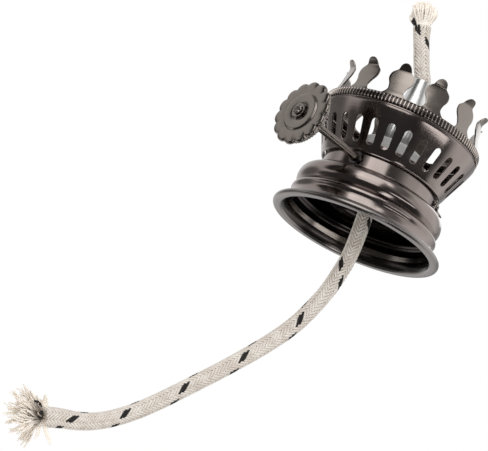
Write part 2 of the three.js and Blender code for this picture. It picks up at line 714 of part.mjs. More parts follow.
// A tuft that opens from a wick's end, along the way the wick points there
function tuft(route, height, length, radius) {
  const end = new THREE.Vector3(...route[route.length - 1]);
  const before = new THREE.Vector3(...route[route.length - 2]);
  const along = end.clone().sub(before).normalize();
  const profile = [
    new THREE.Vector2(0, clearance), new THREE.Vector2(looseWickRadius, clearance),
    new THREE.Vector2(radius * 0.75, length * 0.4), new THREE.Vector2(radius, length * 0.75),
    new THREE.Vector2(radius * 0.6, length), new THREE.Vector2(0, length),
  ];
  const geometry = new THREE.LatheGeometry(profile, wickSides);
  geometry.applyQuaternion(new THREE.Quaternion().setFromUnitVectors(new THREE.Vector3(0, 1, 0), along));
  geometry.translate(end.x, end.y, end.z + height);
  return solid(geometry);
}

const burner = new THREE.Group();

const body = new THREE.Group();
body.add(piece('base_shell', baseShell(), darkSteel));
body.add(piece('neck_cup', neckCup(), darkSteel));
body.add(piece('gallery_catch', galleryCatch(), darkSteel));
body.add(piece('catch_rivet', catchRivet(), darkSteel));
body.add(piece('raiser_housing', raiserHousing(), brightMetal));
body.add(piece('guide_tube', guideTube(), brightMetal));
body.add(piece('fluted_collar', flutedCollar(), brightMetal));
body.add(piece('burner_tip', burnerTip(), brightMetal));
body.add(inSpindleFrame(piece('spindle_saddle', spindleSaddle(), brassMetal)));
body.add(inSpindleFrame(piece('spindle_bush', spindleBush(), brassMetal)));
burner.add(body);

const raiser = new THREE.Group();
const stopRingBore = spindleRadius + clearance;
const stopRing = ring(
  stopRingBore, stopRingBore + stopRingWall, stopRingPlace, stopRingPlace + stopRingLength, smallSides,
);
const washerBore = spindleRadius - 2 * ridgeDepth + clearance;
const washerBack = knobFace + clearance / 2;
const washerFront = washerBack + washerThickness;
const washer = ring(washerBore, washerBore + washerWall, washerBack, washerFront, smallSides);
raiser.add(piece('spindle', spindle(), darkSteel));
raiser.add(piece('spur_wheel', spurWheel(), brassMetal));
raiser.add(piece('stop_ring', stopRing, brassMetal));
raiser.add(piece('knob_front', knobFront(), darkSteel));
raiser.add(piece('knob_back', knobBack(), darkSteel));
raiser.add(piece('knob_washer', washer, darkSteel));
raiser.applyMatrix4(spindleFrame);
burner.add(raiser);

const gallery = new THREE.Group();
gallery.add(piece('gallery_basket', galleryBasket(), darkSteel));
gallery.add(piece('prong_crown', prongCrown(), darkSteel));
burner.add(gallery);

const wick = new THREE.Group();
const wickInner = rod(wickRadius, wickHangRoute[0][2] + clearance, tubeTop, wickSides);
wick.add(piece('wick_top', wickAlong(wickTopRoute, tubeTop, wickTopStep), cotton));
wick.add(piece('wick_top_tuft', tuft(wickTopRoute, tubeTop, tuftLength, tuftRadius), cotton));
wick.add(piece('wick_inner', solid(wickInner), cotton));
wick.add(piece('wick_hanging', wickAlong(wickHangRoute, 0, wickHangStep), cotton));
wick.add(piece('wick_frayed_end', tuft(wickHangRoute, 0, frayLength, frayRadius), cotton));
burner.add(wick);

export default burner;
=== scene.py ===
# %% [markdown]
# # Oil lamp burner
# This is a small round-wick burner: thin pressed and spun sheet with a dark nickel plate, a bright
# aluminium tip, and a braided cotton wick that runs up through it and hangs out below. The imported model
# gives every piece its place, and each cell below makes one piece or one finish.

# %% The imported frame
import json
import math
import random

import bmesh
import bpy
from mathutils import Matrix, Vector

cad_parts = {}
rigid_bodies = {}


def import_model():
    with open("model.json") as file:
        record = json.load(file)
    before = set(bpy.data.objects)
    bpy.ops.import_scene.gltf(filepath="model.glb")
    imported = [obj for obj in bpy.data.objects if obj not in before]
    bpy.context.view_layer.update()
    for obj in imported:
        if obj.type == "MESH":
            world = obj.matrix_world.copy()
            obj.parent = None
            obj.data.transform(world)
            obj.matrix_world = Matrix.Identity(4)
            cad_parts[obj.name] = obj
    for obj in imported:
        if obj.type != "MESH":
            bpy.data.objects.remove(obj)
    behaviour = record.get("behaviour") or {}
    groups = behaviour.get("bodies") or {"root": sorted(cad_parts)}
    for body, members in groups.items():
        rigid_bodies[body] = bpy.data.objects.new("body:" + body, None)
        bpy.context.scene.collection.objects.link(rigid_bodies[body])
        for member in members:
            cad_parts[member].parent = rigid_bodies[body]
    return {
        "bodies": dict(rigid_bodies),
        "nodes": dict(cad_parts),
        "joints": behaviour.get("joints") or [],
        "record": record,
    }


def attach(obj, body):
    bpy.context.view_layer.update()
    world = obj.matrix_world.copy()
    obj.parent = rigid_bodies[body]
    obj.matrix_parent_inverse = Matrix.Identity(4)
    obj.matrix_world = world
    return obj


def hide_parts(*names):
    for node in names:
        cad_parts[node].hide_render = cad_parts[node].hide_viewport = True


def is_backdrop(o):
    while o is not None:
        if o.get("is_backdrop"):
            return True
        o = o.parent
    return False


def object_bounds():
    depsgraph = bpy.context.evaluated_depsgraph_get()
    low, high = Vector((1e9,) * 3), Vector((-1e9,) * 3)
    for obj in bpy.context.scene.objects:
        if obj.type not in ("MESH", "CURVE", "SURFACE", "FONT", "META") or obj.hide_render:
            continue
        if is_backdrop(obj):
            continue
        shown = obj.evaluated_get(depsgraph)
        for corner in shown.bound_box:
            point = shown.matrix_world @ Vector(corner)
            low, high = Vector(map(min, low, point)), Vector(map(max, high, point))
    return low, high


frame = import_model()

MM = 0.001
scene = bpy.context.scene
cad_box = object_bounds()
print("nodes:", len(frame["nodes"]))

# %% [markdown]
# ## Camera
# The burner was photographed with a long lens, from a little below and with the lamp leaning to the right.
# The lens, tilt and distance were worked out from the circles of the lip, skirt and rim, so the camera is
# placed by its own axes instead of being aimed at a point.

# %% Camera
PHOTO_WIDTH = 488
SENSOR_WIDTH = 36
FOCAL_PIXELS = 2500
CAMERA_DISTANCE = 623.6
CAMERA_ELEVATION = math.radians(-15.5)
CAMERA_ROLL = math.radians(24.8)
BURNER_RIGHT_OF_MIDDLE = 27.47
BURNER_ABOVE_MIDDLE = -2.74
CAMERA_CLIP = (0.05, 20)


def camera_turn(elevation, roll):
    """The turn from the camera's own axes to the burner's."""
    level = Matrix((
        (1, 0, 0),
        (0, math.sin(elevation), math.cos(elevation)),
        (0, -math.cos(elevation), math.sin(elevation)),
    ))
    rolled = Matrix((
        (math.cos(roll), math.sin(roll), 0),
        (-math.sin(roll), math.cos(roll), 0),
        (0, 0, 1),
    ))
    return (rolled @ level).transposed()


turn = camera_turn(CAMERA_ELEVATION, CAMERA_ROLL)
camera_place = turn @ Vector((-BURNER_RIGHT_OF_MIDDLE, -BURNER_ABOVE_MIDDLE, CAMERA_DISTANCE)) * MM
camera = bpy.data.objects.new("camera", bpy.data.cameras.new("camera"))
camera.data.sensor_width = SENSOR_WIDTH
camera.data.lens = SENSOR_WIDTH * FOCAL_PIXELS / PHOTO_WIDTH
camera.data.clip_start, camera.data.clip_end = CAMERA_CLIP
camera.matrix_world = Matrix.Translation(camera_place) @ turn.to_4x4()
scene.collection.objects.link(camera)
scene.camera = camera
print("lens", round(camera.data.lens, 1), "mm, camera at", [round(value, 3) for value in camera_place])

# %% [markdown]
# ## Colours and node helpers
# Colours are written as they look on screen, in hex, and one function turns them to the linear values that
# Blender's sockets take. One small function adds a node with its settings and links, in materials and in
# Geometry Nodes alike. The others add the sums, noises, ramps and mixes that every tree needs.

# %% Colour and node helpers
def linear(hex_colour):
    """A screen colour such as #6a615d as linear red, green, blue and alpha."""
    parts = [int(hex_colour[start:start + 2], 16) / 255 for start in (1, 3, 5)]
    return (*(part / 12.92 if part <= 0.04045 else ((part + 0.055) / 1.055) ** 2.4 for part in parts), 1)


def add_node(tree, kind, settings=None, inputs=None):
    """A node with its settings. Each input gets a value, a socket's link, or a node's first output."""
    made = tree.nodes.new(kind)
    for name, value in (settings or {}).items():
        setattr(made, name, value)
    for name, value in (inputs or {}).items():
        if isinstance(value, bpy.types.Node):
            value = value.outputs[0]
        if isinstance(value, bpy.types.NodeSocket):
            tree.links.new(value, made.inputs[name])
        else:
            made.inputs[name].default_value = value
    return made


def maths(tree, operation, *values, kind="ShaderNodeMath"):
    """The result of a sum on numbers, or with the other kind of node a number measured on vectors."""
    return add_node(tree, kind, {"operation": operation}, dict(enumerate(values))).outputs["Value"]


def noise(tree, place, spacing, detail, roughness=0.5):
    """Soft random values, with spots that are one spacing apart in millimetres."""
    return add_node(tree, "ShaderNodeTexNoise", inputs={
        "Vector": place, "Scale": 1 / (spacing * MM), "Detail": detail, "Roughness": roughness,
    })


def ramp(tree, value, start, end, first=0, last=1, curve="SMOOTHSTEP"):
    """Goes from first to last while the value goes from start to end."""
    return add_node(tree, "ShaderNodeMapRange", {"interpolation_type": curve}, {
        "Value": value, "From Min": start, "From Max": end, "To Min": first, "To Max": last,
    })


def mix_colours(tree, share, first, second):
    """The first colour where the share is 0 and the second where it is 1."""
    inputs = {"Factor": share, "A": first, "B": second}
    return add_node(tree, "ShaderNodeMix", {"data_type": "RGBA"}, inputs).outputs["Result"]


def new_material(name):
    """An empty material, and its tree."""
    material = bpy.data.materials.new(name)
    material.use_nodes = True
    material.node_tree.nodes.clear()
    return material, material.node_tree


def finish_material(tree, grain, strength, depth, values):
    """Ends a material's tree: a shader with the values, and with the grain as a bump in its surface."""
    bump = add_node(tree, "ShaderNodeBump", inputs={
        "Height": grain, "Strength": strength, "Distance": depth * MM,
    })
    shader = add_node(tree, "ShaderNodeBsdfPrincipled", inputs={**values, "Normal": bump})
    add_node(tree, "ShaderNodeOutputMaterial", inputs={"Surface": shader})


# %% [markdown]
# ## Cotton yarn
# The wick is undyed cotton: matt, soft, a little warm, with short fibres standing off each yarn. A fine
# noise along the yarn lifts the surface, and sheen gives the pale edge that loose fibres make. Real fibres
# are about 0.02 mm thick, too fine to show, so they are drawn about 0.2 mm apart.

# %% Cotton materials
FIBRE_SPACING = 0.22
FIBRE_DEPTH = 0.1
FIBRE_STRENGTH = 0.45
YARN_PATCH = 2.5
YARN_PATCH_EDGES = (0.35, 0.65)
YARN_ROUGHNESS = 0.92
FUZZ_ROUGHNESS = 0.6
# Painted shade: the frayed yarns are darkened brown round the root, where the braid opens.
ROOT_PAINTED_SHADE = ((-51.6, -3, -74.3), (0.6, 4.2), "#7d6d5c")


def cotton_material(name, pale, shaded, sheen, root=None):
    """Cotton in two tones. With a root, given as a place, reach and colour, shade is painted round there."""
    material, tree = new_material(name)
    place = add_node(tree, "ShaderNodeTexCoord").outputs["Object"]
    share = ramp(tree, noise(tree, place, YARN_PATCH, 3), *YARN_PATCH_EDGES, curve="LINEAR")
    colour = mix_colours(tree, share, linear(shaded), linear(pale))
    if root:
        root_place, (near, far), root_shade_colour = root
        # The painted shade at the root: darker the nearer the yarn is to the given place.
        away = maths(tree, "DISTANCE", place, Vector(root_place) * MM, kind="ShaderNodeVectorMath")
        colour = mix_colours(tree, ramp(tree, away, near * MM, far * MM), linear(root_shade_colour), colour)
    finish_material(tree, noise(tree, place, FIBRE_SPACING, 4, 0.7), FIBRE_STRENGTH, FIBRE_DEPTH, {
        "Base Color": colour, "Roughness": YARN_ROUGHNESS,
        "Sheen Weight": sheen, "Sheen Roughness": FUZZ_ROUGHNESS,
    })
    return material


raw_cotton = cotton_material("raw_cotton_yarn", "#ded8d0", "#cdc3b9", 0.15)
black_cotton = cotton_material("black_tracer_yarn", "#2a2624", "#1c1917", 0.05)
# Painted light: the loose yarns get a paler copy of the cotton, to lighten the shade among them; it also
# carries the painted shade at the root.
painted_light_cotton = cotton_material("painted_light_cotton_yarn", "#fbf4ea", "#f2e8dc", 0.2, ROOT_PAINTED_SHADE)
print("cottons:", raw_cotton.name, black_cotton.name, painted_light_cotton.name)

# %% [markdown]
# ## Smooth lines
# Most pieces start as a few measured points. A centripetal Catmull-Rom line goes through all of them
# without loops, and the same function serves the wick's path, the spun profiles and the prongs.

# %% Line helpers
def smooth_line(points, steps=8):
    """A smooth line through the points."""
    points = [Vector(point) for point in points]
    line = []
    for index in range(len(points) - 1):
        here, after = points[index], points[index + 1]
        before = points[index - 1] if index else here * 2 - after
        beyond = points[index + 2] if index + 2 < len(points) else after * 2 - here
        knots = [0]
        for near, far in ((before, here), (here, after), (after, beyond)):
            knots.append(knots[-1] + max((far - near).length, 1e-6) ** 0.5)

        def between(a, b, from_knot, to_knot, at):
            share = (at - from_knot) / (to_knot - from_knot)
            return a * (1 - share) + b * share

        for step in range(steps):
            at = knots[1] + (knots[2] - knots[1]) * step / steps
            first = between(before, here, knots[0], knots[1], at)
            second = between(here, after, knots[1], knots[2], at)
            third = between(after, beyond, knots[2], knots[3], at)
            low = between(first, second, knots[0], knots[2], at)
            high = between(second, third, knots[1], knots[3], at)
            line.append(between(low, high, knots[1], knots[2], at))
    line.append(points[-1])
    return line


def distances(line):
    """How far along the line each of its points is."""
    along = [0]
    for near, far in zip(line, line[1:]):
        along.append(along[-1] + (far - near).length)
    return along


def point_along(line, along, distance):
    """The point that is a distance along the line."""
    index = 0
    while index < len(line) - 2 and along[index + 1] < distance:
        index += 1
    share = (distance - along[index]) / (along[index + 1] - along[index])
    return line[index] * (1 - share) + line[index + 1] * share


def between_marks(marks, at):
    """A value read off a list of (place, value) marks, straight between them and level outside."""
    if at <= marks[0][0]:
        return marks[0][1]
    for (low, low_value), (high, high_value) in zip(marks, marks[1:]):
        if at <= high:
            return low_value + (high_value - low_value) * (at - low) / (high - low)
    return marks[-1][1]


# %% [markdown]
# ## Nets
# Every mesh here is a net: rows of places with faces between them. A net that closes on itself across is a
# tube, and one that also closes along is a turned shape. Places are in millimetres until the mesh is made.

# %% Mesh helpers
def turned(radius, angle, height):
    """A place turned round Z by an angle from the side that faces the camera."""
    return Vector((radius * math.sin(angle), -radius * math.cos(angle), height))


def net(rows, across=False, along=False):
    """The places of the rows and the faces between them. The net may close on itself across or along."""
    count, width = len(rows), len(rows[0])
    faces = []
    for row in range(count if along else count - 1):
        here, after = row * width, (row + 1) % count * width
        for step in range(width if across else width - 1):
            beside = (step + 1) % width
            faces.append((here + step, here + beside, after + beside, after + step))
    return [place for row in rows for place in row], faces


def tube(rings):
    """A tube with closed ends through rings of places."""
    places, faces = net(rings, across=True)
    first = range(len(rings[0]))
    last = range(len(places) - len(first), len(places))
    return places, faces + [tuple(reversed(first)), tuple(last)]


def joined(shapes):
    """Several shapes as one."""
    places, faces = [], []
    for own_places, own_faces in shapes:
        faces += [[len(places) + corner for corner in face] for face in own_faces]
        places += own_places
    return places, faces


def smooth_mesh(mesh, degrees):
    """Smooth shading where faces meet at less than the angle."""
    mesh.polygons.foreach_set("use_smooth", [True] * len(mesh.polygons))
    mesh.set_sharp_from_angle(angle=math.radians(degrees))


def mesh_piece(name, shapes, materials, finishes=None, smooth_degrees=40):
    """An object from shapes, each of them places and faces. Finishes number each shape's material."""
    places, faces = joined(shapes)
    mesh = bpy.data.meshes.new(name)
    mesh.from_pydata([Vector(place) * MM for place in places], [], faces)
    numbers = []
    for shape, finish in zip(shapes, finishes or [0] * len(shapes)):
        numbers += [finish] * len(shape[1])
    for material in materials:
        mesh.materials.append(material)
    mesh.polygons.foreach_set("material_index", numbers)
    smooth_mesh(mesh, smooth_degrees)
    piece = bpy.data.objects.new(name, mesh)
    scene.collection.objects.link(piece)
    return piece


def stands_for(piece, node, body):
    """The piece takes the node's place and rides on its body."""
    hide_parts(node)
    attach(piece, body)
    print(node, "is shown by", piece.name, "with", len(piece.data.polygons), "faces")


# %% [markdown]
# ## The wick's path
# The wick enters the burner from below, goes up the tube and leans to the left out of the tip. Inside the
# base it bows a little to the right. Every place on it is in the plane that faces the camera, so a place is
# an x and a z, from the cut top end down to where the braid opens.

# %% Wick path
WICK_ABOVE = [
    (-6, 58.2), (-4.85, 55), (-3.75, 52.5), (-2.7, 50), (-1.6, 47.6), (-1, 46.5), (-0.4, 45.5),
    (-0.08, 44.5),
]
WICK_INSIDE = [
    (-0.08, 44.5), (0, 41), (0, 34), (0, 20), (0.05, 9), (0.4, 5.5), (0.75, 1), (0.92, -3), (0.85, -6.4),
    (0.5, -9.5), (0.28, -11),
]
WICK_HANGING = [
    (0.28, -11), (-0.02, -13), (-0.43, -15.2), (-1.1, -17.7), (-1.95, -20.5), (-2.9, -23.2), (-4, -26),
    (-5.3, -28.6), (-6.7, -31.1), (-9.8, -36), (-13.1, -40.7), (-16.5, -45.3), (-19.95, -49.8),
    (-23.4, -54.2), (-26.9, -58.6), (-30.6, -62.8), (-34.5, -66.5), (-38.8, -69.6), (-43.3, -71.6),
    (-46.6, -72.5), (-50, -73.7),
]
PATH_STEP = 0.5

above_line = smooth_line(WICK_ABOVE)
inside_line = smooth_line(WICK_INSIDE)
hanging_line = smooth_line(WICK_HANGING)
wick_line = above_line + inside_line[1:] + hanging_line[1:]
wick_along = distances(wick_line)
mouth_distance = distances(above_line)[-1]
exit_distance = mouth_distance + distances(inside_line)[-1]
wick_length = wick_along[-1]
print("wick:", round(mouth_distance, 1), "mm above the tip,", round(wick_length - exit_distance, 1),
      "mm hanging,", round(wick_length, 1), "mm of braid in all")

# %% [markdown]
# ## Braid
# A round braid has two sets of carriers that run round the core in opposite ways and pass over two, under
# two. Where a carrier is on top depends only on how far round it is, so the floats line up in columns and
# the eye reads a herringbone. Each of the 16 carriers holds two yarns, and one carrier is black: it comes
# to the front once a turn, as a row of three dashes. Those dashes were measured, and the list of their
# places sets how fast the braid turns. A second list turns the columns, because the wick is a little
# twisted where it leaves the base.

# %% Braid
CARRIERS = 8
YARNS = 2
YARN_HALF_WIDTH = 0.31
YARN_HALF_THICKNESS = 0.26
YARN_SIDES = 6
YARN_SMOOTH = 80
FLOATS = 4
FLOAT_SHARPNESS = 1.6
BRAID_MIDDLE = 1.6
BRAID_RISE = 0.24
CORE_RADIUS = 1.4
CORE_SIDES = 14
DIRECTION_REACH = 0.2
YARN_SPREAD = 0.5
TRACER_LIFT = 0.7
TRACER_TURNS = [
    (1.2, -0.25), (4.7, 0), (exit_distance - 15.6, 2.97), (exit_distance - 1.3, 3.84),
    (exit_distance + 15.3, 4.75), (exit_distance + 32.2, 5.75), (exit_distance + 48.9, 6.75),
    (exit_distance + 64.7, 7.75), (exit_distance + 77.5, 8.75), (exit_distance + 90.3, 9.75),
]
BRAID_TWIST = [
    (mouth_distance, math.radians(45)), (exit_distance - 15, math.radians(55)),
    (exit_distance + 2, math.radians(58)), (exit_distance + 13, math.radians(90)),
]
BRAID_SWELL = [
    (0, 1.14), (3.5, 1.03), (6, 1), (exit_distance + 20, 1.02), (exit_distance + 40, 0.99),
    (exit_distance + 70, 1.02), (exit_distance + 78, 1.15), (exit_distance + 84, 1.3),
]


def wick_frame(distance):
    """The wick's middle there, the way down along it, and its sides that face the camera and the right."""
    here = point_along(wick_line, wick_along, distance)
    near = point_along(wick_line, wick_along, max(distance - DIRECTION_REACH, 0))
    far = point_along(wick_line, wick_along, min(distance + DIRECTION_REACH, wick_length))
    down = (far - near).normalized()
    return (
        Vector((here.x, 0, here.y)), Vector((down.x, 0, down.y)),
        Vector((0, -1, 0)), Vector((-down.y, 0, down.x)),
    )


def sideways(front, right, angle):
    """The way out of the wick's middle at an angle from its front."""
    return front * math.cos(angle) + right * math.sin(angle)


def yarn(line, outwards, size_at, sides):
    """A yarn along a line. Its flat side is turned to the given ways, and its size follows its length."""
    rings = []
    for index, place in enumerate(line):
        along = (line[min(index + 1, len(line) - 1)] - line[max(index - 1, 0)]).normalized()
        across = along.cross(outwards[index]).normalized()
        up = across.cross(along)
        half_width, half_thickness = size_at(index / (len(line) - 1))
        corners = [2 * math.pi * side / sides for side in range(sides)]
        rings.append([
            place + across * half_width * math.cos(corner) + up * half_thickness * math.sin(corner)
            for corner in corners
        ])
    return tube(rings)


def braid_yarn(stations, frames, way, around):
    """One yarn of the braid, from its way round and its first place round, as a share of a turn."""
    line, outwards = [], []
    for distance, (middle, down, front, right) in zip(stations, frames):
        angle = 2 * math.pi * (way * between_marks(TRACER_TURNS, distance) + around)
        lift = TRACER_LIFT if is_dyed(way, around) else 0
        over = max(-1, min(1, FLOAT_SHARPNESS * way * math.cos(FLOATS * angle) + lift))
        out = sideways(front, right, angle + between_marks(BRAID_TWIST, distance))
        swell = between_marks(BRAID_SWELL, distance)
        line.append(middle + out * (BRAID_MIDDLE + BRAID_RISE * over) * swell)
        outwards.append(out)
    return yarn(line, outwards, lambda share: (YARN_HALF_WIDTH, YARN_HALF_THICKNESS), YARN_SIDES)


def is_dyed(way, around):
    """Only the first carrier of one way round is black."""
    return way == 1 and around < 0.5 / CARRIERS


def braid(name, start, end):
    """The wick between two distances along it."""
    count = max(round((end - start) / PATH_STEP), 2)
    stations = [start + (end - start) * index / count for index in range(count + 1)]
    frames = [wick_frame(distance) for distance in stations]
    shapes, dyes = [], []
    for way in (1, -1):
        for number in range(CARRIERS * YARNS):
            carrier, place = divmod(number, YARNS)
            around = (carrier + (place - (YARNS - 1) / 2) * YARN_SPREAD) / CARRIERS
            shapes.append(braid_yarn(stations, frames, way, around))
            dyes.append(int(is_dyed(way, around)))
    core = []
    for distance, (middle, down, front, right) in zip(stations, frames):
        radius = CORE_RADIUS * between_marks(BRAID_SWELL, distance)
        core.append([
            middle + sideways(front, right, 2 * math.pi * side / CORE_SIDES) * radius
            for side in range(CORE_SIDES)
        ])
    return mesh_piece(name, shapes + [tube(core)], [raw_cotton, black_cotton], dyes + [0], YARN_SMOOTH)


braid_above = braid("wick_above_tip", 0, mouth_distance)
braid_inside = braid("wick_in_tube", mouth_distance, exit_distance)
braid_hanging = braid("wick_below_base", exit_distance, wick_length)
print("braid faces:", [len(piece.data.polygons) for piece in (braid_above, braid_inside, braid_hanging)])

# %% [markdown]
# ## Open ends of the wick
# At the bottom the braid has come apart and its yarns stand out in all directions, while the top end is a
# dense brush with a rounded crown. Both are made of single yarns that leave the end of the braid and bend
# on their way out. The longest locks at the bottom end where the measured tips are, and seeded random
# numbers fill the rest.

# %% Yarn ends
LOOSE_SIDES = 5
LOOSE_STEPS = 9
LOOSE_FRONT = Vector((0, -1, 0.3)).normalized()


def bent_yarn(root, root_pull, tip_pull, tip):
    """Points of a yarn that leaves its root one way and comes to its tip another."""
    line = []
    for step in range(LOOSE_STEPS + 1):
        share = step / LOOSE_STEPS
        rest = 1 - share
        line.append(
            root * rest ** 3 + (root + root_pull) * 3 * rest ** 2 * share
            + (tip - tip_pull) * 3 * rest * share ** 2 + tip * share ** 3
        )
    return line


def loose_yarn(line, root_radius, tip_radius):
    """A round yarn that gets thinner towards its tip."""
    growth = tip_radius - root_radius
    outwards = [LOOSE_FRONT] * len(line)
    return yarn(line, outwards, lambda share: [root_radius + growth * share ** 2] * 2, LOOSE_SIDES)


def random_vector(chance, reach):
    """A small step to a random side, at most the reach along each axis."""
    return Vector([chance.uniform(-reach, reach) for axis in range(3)])

# %% Brush at the top end
TOP_YARNS = 260
TOP_LENGTH = 6.2
TOP_UNEVEN = 0.5
TOP_ROUNDING = 2.4
TOP_ROOT_RADIUS = 1.75
TOP_ROOT_DEPTH = 0.4
TOP_TIP_RADIUS = 3.6
TOP_WANDER = 0.3
TOP_ROOT_PULL = 0.45
TOP_WANDER_PULL = 0.5
TOP_TIP_PULL = 1.6
TOP_TIP_SPREAD = 0.5
TOP_YARN_RADIUS = 0.31
TOP_YARN_TAPER = 0.7
TOP_BLACK_SIDE = (-125, -62)
TOP_BLACK_REACH = 0.72
TOP_BLACK_STEPS = 4
TOP_SEED = 5

chance = random.Random(TOP_SEED)
top_end, top_down, top_front, top_right = wick_frame(0)
top_up = top_down * -1
shapes, dyes = [], []
for index in range(TOP_YARNS):
    reach = math.sqrt((index + 0.5) / TOP_YARNS)
    angle = index * math.pi * (3 - math.sqrt(5))
    out = sideways(top_front, top_right, angle) * reach
    root = top_end + out * TOP_ROOT_RADIUS - top_up * TOP_ROOT_DEPTH
    length = TOP_LENGTH - TOP_ROUNDING * reach ** 3 + chance.uniform(-TOP_UNEVEN, TOP_UNEVEN)
    wander = random_vector(chance, TOP_WANDER)
    tip = top_end + out * TOP_TIP_RADIUS + top_up * length + wander
    root_pull = top_up * length * TOP_ROOT_PULL + wander * TOP_WANDER_PULL
    line = bent_yarn(root, root_pull, top_up * TOP_TIP_PULL - out * TOP_TIP_SPREAD, tip)
    around = math.degrees(math.atan2(math.sin(angle), math.cos(angle)))
    dyed = reach > TOP_BLACK_REACH and TOP_BLACK_SIDE[0] < around < TOP_BLACK_SIDE[1]
    line = line[:TOP_BLACK_STEPS + 1] if dyed else line
    shapes.append(loose_yarn(line, TOP_YARN_RADIUS, TOP_YARN_RADIUS * TOP_YARN_TAPER))
    dyes.append(int(dyed))
# The brush is in the paler cotton, which paints light into the shade between its yarns.
braid_top = mesh_piece("wick_top_brush", shapes, [painted_light_cotton, black_cotton], dyes, YARN_SMOOTH)
print("brush:", TOP_YARNS, "yarns, of which", sum(dyes), "black")

# %% Frayed bottom end
LOCKS = [
    (-58.2, -3, -69.6, 0.5, 9), (-57, -2, -69.9, 0.5, 7), (-60.4, 0, -71.6, 0.5, 8),
    (-59.4, 1, -70.7, 0.6, 7), (-52.8, -1, -68.8, 0.45, 10), (-60.3, 0, -75.2, 0.7, 9),
    (-60.2, -1, -77.8, 0.4, 7), (-59, 1, -79.5, 0.4, 7), (-57, -1, -80.9, 0.5, 9),
    (-52.3, -1, -83.1, 0.5, 12), (-53.6, 1, -81.6, 0.8, 12), (-46.4, -0.5, -79.5, 0.35, 12),
    (-50.1, -2, -80.6, 0.3, 4), (-55.4, -3, -71, 0.8, 16), (-58.6, -4, -73.2, 1, 22),
    (-58.4, -5, -76, 1.1, 26), (-56.8, -6, -78.4, 1.1, 24), (-54.4, -6, -79.8, 1, 22),
    (-57.4, -6.5, -74.4, 1.2, 18), (-55.6, -7, -76.8, 1.2, 22), (-57.8, 4, -72.4, 1.2, 16),
    (-57.6, 5, -76.2, 1.4, 20), (-54.8, 6, -78.8, 1.3, 16), (-54, 5.5, -73, 1.2, 14),
    (-53.4, 0.5, -70.4, 0.4, 14), (-52.3, -0.5, -69.3, 0.35, 8),
]
LOCK_ROOT_RADIUS = 2.3
LOCK_ROOT_DEPTH = 0.8
LOCK_ROOT_SPREAD = 0.5
LOCK_WAVE = 0.35
LOCK_ROOT_REACH = 0.8
LOCK_CURL = 0.16
LOCK_UNEVEN = 0.22
LOCK_PULLS = (0.42, 0.3)
LOCK_YARN = (0.25, 0.15)
FLUFF_COUNT = 160
FLUFF_DROP = (2.5, 8)
FLUFF_SPREAD = (1, 4.5)
FLUFF_WAVE = 0.4
FLUFF_PULLS = (0.4, 0.3)
FLUFF_YARN = (0.22, 0.12)
FRAY_SEED = 11
BLACK_YARN = (0.4, 0.26)
BLACK_YARN_ENDS = [
    [(-51.2, -2.4, -75.3), (-50.95, -3, -74.5), (-51.2, -3.2, -73.8), (-51.6, -3, -73.3)],
    [(-51.5, -2.7, -75.1), (-51.4, -3.3, -74.3), (-51.7, -3.2, -73.6)],
    [(-52.2, -2.2, -72.4), (-52.8, -2.8, -71.9), (-53.5, -3, -71.75), (-54.2, -3, -72)],
]

chance = random.Random(FRAY_SEED)
fray_end, fray_down, fray_front, fray_right = wick_frame(wick_length)
shapes = []


def fray_side():
    """A random way out of the wick at its frayed end."""
    return sideways(fray_front, fray_right, chance.uniform(0, 2 * math.pi))


def fray_root(reach):
    """A random root just inside the end of the braid, at a share of the way out."""
    return fray_end + fray_side() * LOCK_ROOT_RADIUS * reach - fray_down * LOCK_ROOT_DEPTH


for x, y, z, spread, count in LOCKS:
    lock_tip = Vector((x, y, z))
    lock_root = fray_root(LOCK_ROOT_REACH * math.sqrt(chance.random()))
    lock = lock_tip - lock_root
    curl = random_vector(chance, LOCK_CURL * lock.length)
    for index in range(count):
        root = lock_root + random_vector(chance, LOCK_ROOT_SPREAD)
        tip = lock_tip + random_vector(chance, spread) - lock * chance.uniform(0, LOCK_UNEVEN)
        pull = fray_down * (tip - root).length * LOCK_PULLS[0] + random_vector(chance, LOCK_WAVE)
        tip_pull = (tip - root) * LOCK_PULLS[1] + curl + random_vector(chance, LOCK_WAVE)
        shapes.append(loose_yarn(bent_yarn(root, pull, tip_pull, tip), *LOCK_YARN))
for index in range(FLUFF_COUNT):
    root = fray_root(math.sqrt(chance.random()))
    side = fray_side()
    tip = root + fray_down * chance.uniform(*FLUFF_DROP) + side * chance.uniform(*FLUFF_SPREAD)
    reach = (tip - root).length
    pull = fray_down * reach * FLUFF_PULLS[0]
    tip_pull = side * reach * FLUFF_PULLS[1] + random_vector(chance, FLUFF_WAVE)
    shapes.append(loose_yarn(bent_yarn(root, pull, tip_pull, tip), *FLUFF_YARN))
dyes = [0] * len(shapes) + [1] * len(BLACK_YARN_ENDS)
shapes += [loose_yarn(smooth_line(line, 3), *BLACK_YARN) for line in BLACK_YARN_ENDS]
# The frayed yarns are in the paler cotton, with painted light, and painted shade at the root.
braid_fray = mesh_piece("wick_frayed_yarns", shapes, [painted_light_cotton, black_cotton], dyes, YARN_SMOOTH)
print("frayed end:", len(shapes), "yarns")

wick_pieces = [
    (braid_above, "wick_top"), (braid_inside, "wick_inner"), (braid_hanging, "wick_hanging"),
    (braid_top, "wick_top_tuft"), (braid_fray, "wick_frayed_end"),
]
for piece, node in wick_pieces:
    stands_for(piece, node, "wick")

# %% [markdown]
# ## Studio
# Polished metal shows its surroundings, so the studio matters as much as the material. The background is
# white for what the camera sees. Metal sees that white too, except towards the parts of the room that are
# dark: the largest is in front and below, and smaller ones are at the left, above, and behind at the right.
# They give the plate its deep blacks, and soft lamps make the bright bands. Each dark part is a direction,
# how near to it the edge and the heart begin, and the share of white in the heart. Each lamp is a name, an
# azimuth, an elevation, a distance, a width, a height, and what a mirror would show of it, with white at 1.

